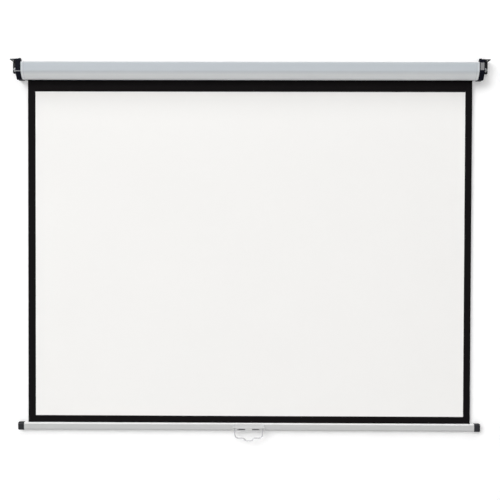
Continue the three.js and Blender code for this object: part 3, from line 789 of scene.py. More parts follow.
def smooth_by_angle(mesh: bpy.types.Mesh, degrees: float = 32.0) -> None:
    """Merges doubles, turns the faces outward and shades all but the sharp edges smooth.

    Args:
        mesh: The mesh.
        degrees: Edges that bend more than this stay sharp.
    """
    form = bmesh.new()
    form.from_mesh(mesh)
    bmesh.ops.remove_doubles(form, verts=form.verts, dist=SAME_POINT)
    bmesh.ops.recalc_face_normals(form, faces=form.faces)
    form.to_mesh(mesh)
    form.free()
    shade_smooth(mesh, degrees)


def loop_mesh(name: str, points: Sequence[Sequence[float]], closed: bool = True) -> bpy.types.Mesh:
    """Makes a mesh of edges only, along a line of points.

    Args:
        name: The mesh's name.
        points: Its points.
        closed: Whether the last joins the first.

    Returns:
        The mesh.
    """
    mesh = bpy.data.meshes.new(name)
    count = len(points)
    mesh.from_pydata(points, [(i, (i + 1) % count) for i in range(count if closed else count - 1)], [])
    return mesh


def arc(centre: Point2, radius: float, start: float, end: float, steps: int) -> list[Point2]:
    """Points on an arc.

    Args:
        centre: Its centre.
        radius: Its radius.
        start: Start angle in degrees.
        end: End angle in degrees.
        steps: Number of parts.

    Returns:
        The points, both ends among them.
    """
    angles = [math.radians(start + (end - start) * i / steps) for i in range(steps + 1)]
    return [(centre[0] + radius * math.cos(a), centre[1] + radius * math.sin(a)) for a in angles]


def bezier(first: Point2, control: Point2, last: Point2, steps: int) -> list[Point2]:
    """Points on a quadratic curve.

    Args:
        first: Its start.
        control: Its control point.
        last: Its end.
        steps: Number of parts.

    Returns:
        The points, both ends among them.
    """
    shares = [i / steps for i in range(steps + 1)]
    return [tuple((1 - t) ** 2 * a + 2 * t * (1 - t) * c + t * t * b
                  for a, c, b in zip(first, control, last)) for t in shares]


def lathe(name: str, profile: Sequence[Point2], sides: int) -> bpy.types.Mesh:
    """Turns a profile about Z into a closed mesh.

    Args:
        name: The mesh's name.
        profile: Radius and height pairs from the lower pole to the upper one, both on the axis.
        sides: Faces round.

    Returns:
        The mesh.
    """
    turns = [math.tau * i / sides for i in range(sides)]
    points = [(0, 0, profile[0][1]),
              *((radius * math.cos(turn), radius * math.sin(turn), height)
                for radius, height in profile[1:-1] for turn in turns),
              (0, 0, profile[-1][1])]
    last_ring = len(points) - 1 - sides
    faces: list[tuple[int, ...]] = []
    for i in range(sides):
        j = (i + 1) % sides
        faces.append((0, 1 + j, 1 + i))
        faces += [(ring + i, ring + j, ring + sides + j, ring + sides + i)
                  for ring in range(1, last_ring, sides)]
        faces.append((len(points) - 1, last_ring + i, last_ring + j))
    mesh = bpy.data.meshes.new(name)
    mesh.from_pydata(points, [], faces)
    return mesh


def strip_mesh(name: str, section: Sequence[Point2], half: float, cells: int) -> bpy.types.Mesh:
    """Draws a closed (y, z) section out along X as a closed mesh with a "cut" UV map.

    Args:
        name: The mesh's name.
        section: The closed section, whose first half is one face of the cloth and the rest the other.
        half: Half the width.
        cells: Columns along X.

    Returns:
        The mesh, without a material.
    """
    count = len(section)
    half_count = count // 2
    run = [0.0]
    for a, b in zip(section, section[1:half_count]):
        run.append(run[-1] + math.dist(a, b))
    run += run[::-1]
    form = bmesh.new()
    layer = form.loops.layers.uv.new("cut")
    places = [-half + 2 * half * c / cells for c in range(cells + 1)]
    rows = [[form.verts.new((x, y, z)) for y, z in section] for x in places]

    def face(corners: Sequence[tuple[int, int]]) -> None:
        """Adds a face and its "cut" coordinates.

        Args:
            corners: Its corners, each as a column and a point of the section.
        """
        made = form.faces.new([rows[c][i] for c, i in corners])
        for loop, (c, i) in zip(made.loops, corners):
            loop[layer].uv = (places[c], run[i])

    for c in range(cells):
        for i in range(count):
            face([(c, i), (c, (i + 1) % count), (c + 1, (i + 1) % count), (c + 1, i)])
    for c in (0, cells):
        for i in range(half_count - 1):
            face([(c, i), (c, i + 1), (c, count - 2 - i), (c, count - 1 - i)])
    bmesh.ops.recalc_face_normals(form, faces=form.faces)
    mesh = mesh_of(form, name)
    shade_smooth(mesh, degrees=40)
    return mesh


def box_mesh(name: str, low: Sequence[float], high: Sequence[float]) -> bpy.types.Mesh:
    """Makes a closed box.

    Args:
        name: The mesh's name.
        low: Its lowest corner.
        high: Its highest corner.

    Returns:
        The mesh.
    """
    form = bmesh.new()
    size = [b - a for a, b in zip(low, high)]
    centre = [(a + b) / 2 for a, b in zip(low, high)]
    bmesh.ops.create_cube(form, size=1, matrix=Matrix.Translation(centre) @ Matrix.Diagonal((*size, 1)))
    return mesh_of(form, name)


def joined(name: str, parts: Sequence[bpy.types.Object]) -> bpy.types.Object:
    """Joins plain objects at the origin into one piece.

    Args:
        name: The piece's name.
        parts: The objects, which are used up.

    Returns:
        The piece.
    """
    form = bmesh.new()
    for part in parts:
        form.from_mesh(part.data)
    mesh = mesh_of(form, name)
    for material in parts[0].data.materials:
        mesh.materials.append(material)
    for part in parts:
        bpy.data.objects.remove(part)
    return link_object(name, mesh)


def carve(body: bpy.types.Object, cutters: Iterable[bpy.types.Mesh]) -> bpy.types.Object:
    """Cuts closed forms out of a piece.

    Args:
        body: The piece.
        cutters: The forms to take away.

    Returns:
        The cut piece, under the same name.
    """
    name = body.name
    tools = [link_object(f"{name}_cutter_{i}", mesh) for i, mesh in enumerate(cutters)]
    for tool in tools:
        modifier = body.modifiers.new("Cut", "BOOLEAN")
        modifier.operation, modifier.solver, modifier.object = "DIFFERENCE", "EXACT", tool
    piece = baked(name, body)
    for tool in tools:
        bpy.data.objects.remove(tool)
    return piece


def rounded_copy(node: str, name: str, width: float, finish: Material, slot: str,
                 cuts: Sequence[bpy.types.Mesh] = ()) -> bpy.types.Object:
    """A frame node's form with its doubles merged and its sharp edges rounded.

    Args:
        node: The node to start from, which the new piece replaces.
        name: The new piece's name.
        width: How far the rounding reaches from each edge.
        finish: The piece's material.
        slot: The record's finish.
        cuts: Closed forms taken away before the rounding.

    Returns:
        The new piece, riding where the node does.
    """
    form = bmesh.new()
    form.from_mesh(frame["nodes"][node].data)
    bmesh.ops.remove_doubles(form, verts=form.verts, dist=SAME_POINT)
    bmesh.ops.dissolve_limit(form, angle_limit=math.radians(FLAT_BEND), verts=form.verts, edges=form.edges)
    source = link_object(name + "_source", mesh_of(form, name + "_source"))
    source.data.materials.append(finish)
    if cuts:
        source = carve(source, cuts)
    bevel = source.modifiers.new("Round", "BEVEL")
    bevel.width, bevel.segments, bevel.limit_method = width, ROUNDING_PARTS, "ANGLE"
    bevel.angle_limit = math.radians(ROUNDED_BEND)
    bevel.use_clamp_overlap = True
    shade_smooth(source.data)
    source.modifiers.new("Even", "WEIGHTED_NORMAL").keep_sharp = True
    return seat(baked(name, source), Body(frame["nodes"][node]["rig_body"]), node, slot=slot)


def seat(piece: bpy.types.Object, body: Body, *nodes: str, slot: str) -> bpy.types.Object:
    """Lets a piece ride on its body and stand for its nodes.

    Args:
        piece: The piece.
        body: What it rides on.
        nodes: The frame nodes that it replaces.
        slot: The record's finish; not used.

    Returns:
        The piece.
    """
    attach(piece, body.value)
    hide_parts(*nodes)
    log.info("%s: %d faces on %s", piece.name, len(piece.data.polygons), body.value)
    return piece


def dress_nodes(finish: Material, *nodes: str) -> None:
    """Gives frame nodes a better finish, their shapes as they are.

    Args:
        finish: The material.
        nodes: The nodes.
    """
    for node in nodes:
        mesh = frame["nodes"][node].data
        mesh.materials.clear()
        mesh.materials.append(finish)
        log.info("%s: its own form in %s", node, finish.name)


class Finishes:
    """Every material of the screen, made once."""

    def __init__(self) -> None:
        """Builds the materials."""
        # Painted light on the case: the lower face is painted lighter for light it doesn't get, a painted
        # highlight runs along the top edge, and the seam's dark line is painted shade.
        self.case = LacqueredSheet(
            "case_lacquer", srgb(189, 195, 200), rough=0.52, specular=0.2, seam=(0.7800, 0.0016),
            bands=((-0.0030, -0.0160, srgb(216, 218, 219)), (0.0240, 0.0285, srgb(240, 242, 244)))).build()
        # Painted highlight: a bright line along the bar's top edge.
        self.bar = LacqueredSheet("bar_lacquer", srgb(192, 192, 192), 0.95, 0.36,
                                  bands=((-1.2320, -1.2302, srgb(252, 252, 252)),)).build()
        self.moulding = MouldedPlastic("grey_moulding", srgb(205, 205, 205), 0.45, 0.00002, 0.4).build()
        cap_black = srgb(12, 13, 24)
        self.cap = MouldedPlastic("black_moulding", cap_black, 0.5, specular=0.05).build()
        # Painted highlight along the left cap's crease.
        self.rubbed_cap = MouldedPlastic("rubbed_moulding", cap_black, 0.5, specular=0.05,
                                         crease=(-0.0048, 0.0005, -0.0655)).build()
        self.bar_cap = MouldedPlastic("bar_cap_moulding", srgb(33, 34, 38), 0.36, specular=0.18).build()
        self.panel = MouldedPlastic("polished_panel", srgb(16, 18, 26), 0.16, 0.000004).build()
        # Painted shade: dark grey inside the handle moulding's windows.
        self.shade = MouldedPlastic("window_floor", srgb(118, 118, 120), 0.6, 0.00002, 0.2).build()
        self.bracket = PowderCoat("black_powder_coat", srgb(15, 16, 21)).build()
        self.zinc = PlatedSteel("zinc_plate", srgb(178, 180, 183)).build()
        self.dull_zinc = PlatedSteel("dull_zinc_plate", srgb(140, 142, 145), 0.38).build()
        self.tube = PlatedSteel("drawn_tube", srgb(190, 193, 196), 0.34, Grain.ALONG_X).build()
        self.wire = PlatedSteel("satin_wire", srgb(186, 186, 188), 0.4).build()
        self.spring = PlatedSteel("spring_wire", srgb(120, 122, 126), 0.36).build()
        self.nylon = MouldedPlastic("natural_nylon", srgb(226, 223, 214), 0.5, 0.00002, 0.4).build()


@dataclass
class CaseAssembly:
    """The long lacquered case that the roller turns in."""

    finishes: Finishes
    half_length: float = 0.7885
    back: float = -0.0028
    front: float = -0.0688
    top: float = 0.02925
    bottom: float = -0.02925
    wall: float = 0.0014
    corner: float = 0.008
    heel: float = 0.0018
    crease_drop: float = 0.004
    crease_round: float = 0.0018
    undercut: float = 0.022
    bulge: Point2 = (0.25, 0.4)
    slot: Point2 = (-0.0268, -0.0078)
    lip: float = 0.005
    channel_radius: float = 0.0036
    channel_bore: float = 0.0018
    channel_inset: float = 0.0022
    corner_steps: int = 10
    belly_steps: int = 24

    def line(self, inset: float) -> list[Point2]:
        """The sheet's line from the rear lip round the back, top and front to the front lip.

        Args:
            inset: Distance in from the outer face.

        Returns:
            Points across the case, as (y, z).
        """
        back, front = self.back - inset, self.front + inset
        top, bottom = self.top - inset, self.bottom + inset
        radius, heel = self.corner - inset, self.heel - inset
        crease, lips = -self.crease_drop, self.bottom + self.lip
        control = (front + self.undercut * self.bulge[0], crease - (crease - bottom) * self.bulge[1])
        belly = bezier((front, crease), control, (front + self.undercut, bottom), self.belly_steps)
        bend_end = 2
        return [
            (self.slot[1] + inset, lips), (self.slot[1] + inset, bottom),
            *arc((back - heel, bottom + heel), heel, -90, 0, 4),
            *arc((back - radius, top - radius), radius, 0, 90, self.corner_steps),
            *arc((front + radius, top - radius), radius, 90, 180, self.corner_steps),
            *bezier((front, crease + self.crease_round), (front, crease), belly[bend_end], 6),
            *belly[bend_end + 1:],
            (self.slot[0] - inset, bottom), (self.slot[0] - inset, lips)]

    def channel(self, y: float) -> list[Point2]:
        """The open ring that a cap's screw bites into, on a foot to the wall.

        Args:
            y: Place of its axis from the wall.

        Returns:
            Its closed outline, as (y, z).
        """
        centre = (y, self.top - self.channel_reach())
        out = math.degrees(math.asin(self.channel_bore * 0.5 / self.channel_radius))
        ring = arc(centre, self.channel_radius, -90 + out, 270 - out, 20)
        return ring + arc(centre, self.channel_bore, 250, -70, 14)

    def channel_reach(self) -> float:
        """From the case's outer face to the axis of a screw channel."""
        return self.wall + self.channel_radius + self.channel_inset

    def build(self) -> None:
        """Draws the case's profile and its two screw channels."""
        tree, reach = sweep_tree(), self.channel_reach()
        outlines = [self.line(0) + self.line(self.wall)[::-1],
                    self.channel(self.back - reach), self.channel(self.front + reach)]
        drawn = [tree.make(f"case_part_{i}", loop_mesh("case_outline", [(-y, -z, 0) for y, z in outline]),
                           self.finishes.case, Half_Length=self.half_length)
                 for i, outline in enumerate(outlines)]
        seat(joined("case_drawn_shell", drawn), Body.CASE, "case_shell", slot="case_paint")


@dataclass
class EndFittings:
    """The moulded end caps and the folded brackets that carry them.

    The spring end's cap has a polished panel. The heel is the box that is cut from behind a cap's skirt.
    """

    finishes: Finishes
    cap_round: float = 0.0005
    sheet_round: float = 0.0004
    panel_y: float = -0.0678
    panel_slack: float = 0.0001
    panel_height: float = 0.026
    heel_low: Point3 = (-1.0, -0.041, -0.04)
    heel_high: Point3 = (1.0, 0.01, -0.0293)

    def polish(self, cap: bpy.types.Object) -> None:
        """Gives the recessed panel on a cap's front its polished finish.

        Args:
            cap: The cap.
        """
        cap.data.materials.append(self.finishes.panel)
        for face in cap.data.polygons:
            if abs(face.center.y - self.panel_y) < self.panel_slack and 0 < face.center.z < self.panel_height:
                face.material_index = 1

    def build(self) -> None:
        """Rounds both caps, cut back behind their skirts, and both brackets."""
        # The left cap carries the painted highlight along its crease.
        coats = {Side.LEFT: self.finishes.rubbed_cap, Side.RIGHT: self.finishes.cap}
        for side, coat in coats.items():
            heel = box_mesh("heel", self.heel_low, self.heel_high)
            cap = rounded_copy(f"end_cap_{side.word}", f"end_cap_moulding_{side.word}", self.cap_round,
                               coat, "black_plastic", (heel,))
            if side is Side.RIGHT:
                self.polish(cap)
            rounded_copy(f"wall_bracket_{side.word}", f"bracket_folded_sheet_{side.word}",
                         self.sheet_round, self.finishes.bracket, "black_steel")


@dataclass(frozen=True)
class PanHeadScrew:
    """A threaded pan-head screw with a cross recess, standing on Z with its head's underside at zero.

    The dome is the head's outline, as shares of its radius and height.
    """

    name: str
    radius: float
    height: float
    shank: float
    length: float
    pitch: float = 0.0009
    root_share: float = 0.84
    slot_width: float = 0.28
    slot_length: float = 1.3
    slot_floor: float = 0.45
    dome: tuple[Point2, ...] = ((0.96, 0), (1, 0.12), (1, 0.45), (0.93, 0.72), (0.76, 0.9), (0.5, 0.98), (0, 1))
    sides: int = 20

    def build(self) -> bpy.types.Object:
        """Makes the screw.

        Returns:
            The screw, which is only a pattern to set at points.
        """
        root = self.shank * self.root_share
        ridges = int((self.length - 2 * self.shank) / self.pitch)
        start = -self.length + self.shank
        profile: list[Point2] = [(0, -self.length), (root * 0.3, -self.length + root * 0.2)]
        for i in range(ridges):
            profile += [(root, start + i * self.pitch), (self.shank, start + (i + 0.5) * self.pitch)]
        profile += [(root, start + ridges * self.pitch), (root, 0)]
        profile += [(self.radius * out, self.height * up) for out, up in self.dome]
        body = link_object(self.name, lathe(self.name, profile, self.sides))
        half, reach = self.radius * self.slot_width / 2, self.radius * self.slot_length / 2
        floor, lid = self.height * self.slot_floor, self.height * 1.5
        return carve(body, [box_mesh("slot", (-x, -y, floor), (x, y, lid))
                            for x, y in ((reach, half), (half, reach))])


@dataclass
class Fasteners:
    """Every screw, each at the place of the frame's own."""

    finishes: Finishes
    cap: PanHeadScrew = PanHeadScrew("cap_screw", 0.0036, 0.0024, 0.00155, 0.014)
    wall: PanHeadScrew = PanHeadScrew("wall_screw", 0.0046, 0.0028, 0.0022, 0.028)
    keeper: PanHeadScrew = PanHeadScrew("retaining_screw", 0.0038, 0.0024, 0.0019, 0.011)
    housing: PanHeadScrew = PanHeadScrew("housing_screw", 0.0026, 0.0013, 0.0013, 0.006, 0.0007)
    first_seed: int = 11

    def points(self, nodes: Sequence[str], screw: PanHeadScrew, sideways: bool) -> bpy.types.Mesh:
        """Where a kind of screw sits, and which way its heads face.

        Args:
            nodes: The frame's screws.
            screw: Their kind.
            sideways: Whether they go in from the ends, not from the front.

        Returns:
            A mesh of points with a "facing" at each.
        """
        places, ways = [], []
        for node in nodes:
            low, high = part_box(node)
            place = (low + high) / 2
            if sideways:
                out = Side[node.split("_")[2].upper()].value
                place.x = (high.x if out > 0 else low.x) - out * screw.height
                ways += (out, 0, 0)
            else:
                place.y = low.y + screw.height
                ways += (0, -1, 0)
            places.append(place)
        mesh = bpy.data.meshes.new("screw_places")
        mesh.from_pydata(places, [], [])
        mesh.attributes.new("facing", "FLOAT_VECTOR", "POINT").data.foreach_set("vector", ways)
        return mesh

    def build(self) -> None:
        """Sets each kind of screw at its places."""
        tree = scatter_tree()
        bright, dull = self.finishes.zinc, self.finishes.dull_zinc
        sets = [(self.cap, True, ("_rear", "_front"), bright, Body.CASE),
                (self.wall, False, ("",), dull, Body.CASE),
                (self.keeper, True, ("",), bright, Body.CASE),
                (self.housing, False, ("",), bright, Body.BAR)]
        for seed, (screw, sideways, places, finish, body) in enumerate(sets, self.first_seed):
            nodes = [f"{screw.name}_{side.word}{place}" for side in Side for place in places]
            pattern = screw.build()
            piece = tree.make(screw.name + "s", self.points(nodes, screw, sideways), finish,
                              Fastener=pattern, Turn_Seed=seed)
            bpy.data.objects.remove(pattern)
            seat(piece, body, *nodes, slot="zinc_steel")


@dataclass
class RollerAssembly:
    """The spring roller: tube, bearings, spring motor, ratchet and the wraps that never leave it."""

    finishes: Finishes
    axis_y: float = -0.0358
    half_cloth: float = 0.775
    wrap_inner: float = 0.01762
    wrap_pitch: float = 0.00019
    wrap_thickness: float = 0.00016
    wrap_turns: float = 1.9
    wrap_start: float = 0.4
    wrap_steps: int = 120
    wrap_cells: int = 8
    spring_left: float = 0.3556
    spring_length: float = 0.3991
    spring_turns: float = 24.0
    spring_radius: float = 0.0085
    wire_radius: float = 0.001

    def wraps(self) -> None:
        """Winds the wraps of cloth on the tube, with a small lift at the free edge."""
        finish = BackingCloth("wrapped_cloth", srgb(30, 28, 29)).build()
        steps = range(self.wrap_steps + 1)
        ring: list[Point2] = []
        for offset, order in ((0.0, steps), (self.wrap_thickness, reversed(steps))):
            for i in order:
                turn = i / self.wrap_steps * self.wrap_turns
                radius = self.wrap_inner + turn * self.wrap_pitch + offset
                angle = -math.tau * turn + self.wrap_start
                ring.append((self.axis_y + radius * math.cos(angle), radius * math.sin(angle)))
        mesh = strip_mesh("roller_wraps", ring, self.half_cloth, self.wrap_cells)
        mesh.materials.append(finish)
        piece = seat(link_object("roller_wraps", mesh), Body.ROLLER, "fabric_wraps", slot="black_cloth")

    def build(self) -> None:
        """Winds the spring and the wraps and dresses the rest."""
        base = loop_mesh("spring_seed", [(0, 0, 0), (0, 0, 0.001)], False)
        spring = coil_tree().make("motor_spring", base, self.finishes.spring, Turns=self.spring_turns,
                                  Mean_Radius=self.spring_radius, Coil_Length=self.spring_length,
                                  Wire_Radius=self.wire_radius, Left_End=self.spring_left, Axis_Y=self.axis_y)
        seat(spring, Body.ROLLER, "torsion_spring", slot="spring_steel")
        self.wraps()
        dress_nodes(self.finishes.tube, "roller_tube", "hem_rod")
        dress_nodes(self.finishes.zinc, "idler_pin", "spring_shaft", "ratchet_hub", "pawl_pin", "pawl")
        dress_nodes(self.finishes.nylon, "idler_plug", "idler_bush", "drive_plug", "spring_anchor",
                    "shaft_bearing")


@dataclass
class PictureCloth:
    """The picture cloth between the roller and the bar, and its hem round the rod in the bar."""

    half_width: float = 0.775
    half_picture: float = 0.750
    no_picture: float = -1.0
    y: float = -0.0173
    thickness: float = 0.0004
    top_line: float = 0.0685
    length: float = 1.2035
    travel: float = 1.193
    bar_top: float = -1.2275
    tuck: float = 0.006
    rod_z: float = -1.2341
    hem_radius: float = 0.0025
    hem_turn: Point2 = (90, 410)
    hem_cells: int = 24
    swell: float = 0.0004
    swell_wave: Point2 = (3.1, 1.3)
    ripple: float = 0.00015
    ripple_wave: Point2 = (7.7, -2.1)
    curl: float = 0.0009
    curl_power: int = 10
    calm: float = 1.3
    columns: int = 96
    rows: int = 72

    def lift(self, x: float, z: float) -> float:
        """How far the hanging cloth stands off its plane, held flat at the roller and the bar.

        It swells late below the roller and curls to the wall, so that the drawn-up cloth clears the wraps.

        Args:
            x: Place across the cloth.
            z: Height, from 0 at the roller down.

        Returns:
            Distance towards the wall.
        """
        free = math.sin(math.pi * min(1.0, -z / self.length) ** self.calm)
        swell = self.swell * math.sin(self.swell_wave[0] * x + self.swell_wave[1])
        ripple = self.ripple * math.sin(self.ripple_wave[0] * x + self.ripple_wave[1] * z)
        return free * (swell + ripple + self.curl * (abs(x) / self.half_width) ** self.curl_power)

    def sheet(self) -> bpy.types.Object:
        """Makes the picture's sheet as a closed thin form, white in front and black behind.

        Returns:
            The sheet, without its finishes.
        """
        form = bmesh.new()
        layer = form.loops.layers.uv.new("cut")
        cols, rows = self.columns, self.rows
        xs = [-self.half_width + 2 * self.half_width * c / cols for c in range(cols + 1)]
        zs = [-self.length * r / rows for r in range(rows + 1)]
        front, back = ([[form.verts.new((x, self.y + side + self.lift(x, z), z)) for x in xs] for z in zs]
                       for side in (-self.thickness / 2, self.thickness / 2))

        def face(corners: Sequence[bmesh.types.BMVert], finish: int) -> None:
            """Adds a face whose "cut" coordinates are its own place.

            Args:
                corners: Its corners.
                finish: Number of its material.
            """
            made = form.faces.new(corners)
            made.material_index = finish
            for loop in made.loops:
                loop[layer].uv = (loop.vert.co.x, -loop.vert.co.z)

        for r in range(rows):
            for c in range(cols):
                face([front[r][c], front[r + 1][c], front[r + 1][c + 1], front[r][c + 1]], 0)
                face([back[r][c], back[r][c + 1], back[r + 1][c + 1], back[r + 1][c]], 1)
            face([front[r][0], back[r][0], back[r + 1][0], front[r + 1][0]], 1)
            face([front[r][cols], front[r + 1][cols], back[r + 1][cols], back[r][cols]], 1)
        for c in range(cols):
            face([front[0][c], front[0][c + 1], back[0][c + 1], back[0][c]], 1)
            face([front[rows][c], back[rows][c], back[rows][c + 1], front[rows][c + 1]], 1)
        bmesh.ops.recalc_face_normals(form, faces=form.faces)
        mesh = mesh_of(form, "picture_cloth")
        shade_smooth(mesh, degrees=50)
        return link_object("picture_cloth", mesh)

    def hem(self) -> bpy.types.Object:
        """Makes the black lower strip and its loop round the rod.

        Returns:
            The strip, without its finish.
        """
        line = [(self.y, -self.length), (self.y, self.bar_top + self.tuck), (self.y, self.bar_top),
                *arc((self.y, self.rod_z), self.hem_radius, *self.hem_turn, 26)]
        left, right = [], []
        for i, point in enumerate(line):
            before, after = Vector(line[max(0, i - 1)]), Vector(line[min(len(line) - 1, i + 1)])
            along = (after - before).normalized()
            across = Vector((along.y, -along.x)) * (self.thickness / 2)
            left.append(tuple(Vector(point) + across))
            right.append(tuple(Vector(point) - across))
        mesh = strip_mesh("lower_border", left + right[::-1], self.half_width, self.hem_cells)
        return link_object("lower_border", mesh)

    def build(self) -> None:
        """Makes and dresses both cloth pieces."""
        white, black = srgb(244, 243, 241), srgb(15, 13, 14)
        face, ink = (ProjectionCloth(name, white, black, half_picture, self.top_line, self.length).build()
                     for name, half_picture in (("picture_coating", self.half_picture),
                                                ("border_coating", self.no_picture)))
        back = BackingCloth("cloth_backing", srgb(24, 23, 24)).build()
        sheet, hem = self.sheet(), self.hem()
        sheet.data.materials.append(face)
        sheet.data.materials.append(back)
        hem.data.materials.append(ink)
        seat(hem, Body.BAR, "fabric_hem", slot="black_cloth")
        seat(sheet, Body.CASE, "screen_fabric", slot="picture_surface")
        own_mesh(sheet)


@dataclass
class BottomBar:
    """The drawn weight bar along the cloth's lower edge and its two moulded caps."""

    finishes: Finishes
    half_length: float = 0.7885
    front: float = -0.0273
    back: float = -0.0073
    top: float = -1.2275
    bottom: float = -1.2545
    front_radius: float = 0.007
    back_radius: float = 0.004
    mouth: float = 0.0013
    mouth_depth: float = 0.003
    mouth_lead: float = 0.0005
    channel_radius: float = 0.0036
    cap_round: float = 0.0005

    def outline(self) -> list[Point2]:
        """The bar's section with the open channel for the hem.

        Returns:
            Points across the bar, as (y, z).
        """
        middle, lead = (self.front + self.back) / 2, self.mouth_lead
        back, front = self.back - self.back_radius, self.front + self.front_radius
        out = math.degrees(math.asin(self.mouth / self.channel_radius))
        return [
            (middle + self.mouth, self.top - lead), (middle + self.mouth + lead, self.top),
            *arc((back, self.top - self.back_radius), self.back_radius, 90, 0, 10),
            *arc((back, self.bottom + self.back_radius), self.back_radius, 0, -90, 10),
            *arc((front, self.bottom + self.front_radius), self.front_radius, -90, -180, 16),
            *arc((front, self.top - self.front_radius), self.front_radius, 180, 90, 16),
            (middle - self.mouth - lead, self.top), (middle - self.mouth, self.top - lead),
            *arc((middle, self.top - self.mouth_depth - self.channel_radius), self.channel_radius,
                 90 + out, 450 - out, 22)]

    def build(self) -> None:
        """Draws the bar and rounds its caps."""
        outline = loop_mesh("bar_outline", [(-y, -z, 0) for y, z in self.outline()])
        bar = sweep_tree().make("bar_drawn_profile", outline, self.finishes.bar, Half_Length=self.half_length)
        seat(bar, Body.BAR, "bottom_bar", slot="bar_paint")
        for side in Side:
            rounded_copy(f"bar_cap_{side.word}", f"bar_cap_moulding_{side.word}", self.cap_round,
                         self.finishes.bar_cap, "black_plastic")


@dataclass
class PullHandle:
    """The wire bail that pulls the screen down and the moulding it swings in."""

    finishes: Finishes
    pivot_y: float = -0.03315
    pivot_z: float = -1.2475
    half: float = 0.0485
    wire: float = 0.0045
    wire_sides: int = 20
    bend: float = 0.004
    leg: float = 0.0065
    side_drop: float = 0.0155
    shoulder_drop: float = 0.031
    shoulder_outer: float = 0.033
    shoulder_inner: float = 0.022
    dip_half: float = 0.0095
    dip_shoulder: float = 0.0125
    drop: float = 0.040
    housing_round: float = 0.00035
    window_inner: float = 0.012
    window_outer: float = 0.040
    window_height: float = 0.0046
    window_front: float = -0.0372
    window_back: float = -0.0328

    def right_half(self) -> list[Point2]:
        """The bail's centre line on its right half.

        Returns:
            Points from the inner end of the leg to the lowest point, as (x, z).
        """
        half, bend, drop, low = self.half, self.bend, self.shoulder_drop, self.drop
        saddle = (self.dip_shoulder, -low + bend / 2)
        return [
            (half - bend - self.leg, 0), (half - bend - self.leg / 2, 0),
            *bezier((half - bend, 0), (half, 0), (half, -bend), 8),
            *bezier((half, -self.side_drop), (half, -drop), (self.shoulder_outer, -drop), 18),
            *bezier((self.shoulder_inner, -drop), ((self.shoulder_inner + self.dip_half) / 2, -drop),
                    saddle, 10),
            *bezier(saddle, (self.dip_half, -low), (0, -low), 8)[1:]]

    def shade(self, housing: bpy.types.Object) -> None:
        """Gives the insides of the moulding's two windows a painted shade, a dark grey that stands in for the
        shade within them.

        Args:
            housing: The moulding.
        """
        # Painted shade on the faces inside the two windows.
        housing.data.materials.append(self.finishes.shade)
        edge = self.housing_round
        for face in housing.data.polygons:
            x, y, z = face.center
            if (self.window_inner < abs(x) < self.window_outer
                    and abs(z - self.pivot_z) < self.window_height / 2 + edge
                    and self.window_front + edge < y < self.window_back + edge):
                face.material_index = 1

    def build(self) -> None:
        """Bends the bail and rounds the moulding."""
        right = self.right_half()
        line = right + [(-x, z) for x, z in right[-2::-1]]
        points = [(x, self.pivot_y, self.pivot_z + z) for x, z in line]
        bail = wire_tree().make("bail_wire", loop_mesh("bail_line", points, False), self.finishes.wire,
                                Wire_Radius=self.wire / 2, Sides=self.wire_sides)
        seat(bail, Body.HANDLE, "handle_bail", slot="handle_wire")
        self.shade(rounded_copy("handle_housing", "handle_moulding", self.housing_round,
                                self.finishes.moulding, "grey_plastic"))


@dataclass(frozen=True)
class SoftBox:
    """A soft studio lamp."""

    name: str
    place: Point3
    aim: Point3
    size: float
    watts: float

    def build(self) -> None:
        """Hangs the lamp."""
        data = bpy.data.lights.new(self.name, "AREA")
        data.shape, data.size, data.energy = "DISK", self.size, self.watts
        lamp = bpy.data.objects.new(self.name, data)
        lamp.location = self.place
        lamp.rotation_euler = (Vector(self.aim) - Vector(self.place)).to_track_quat("-Z", "Y").to_euler()
        bpy.context.scene.collection.objects.link(lamp)


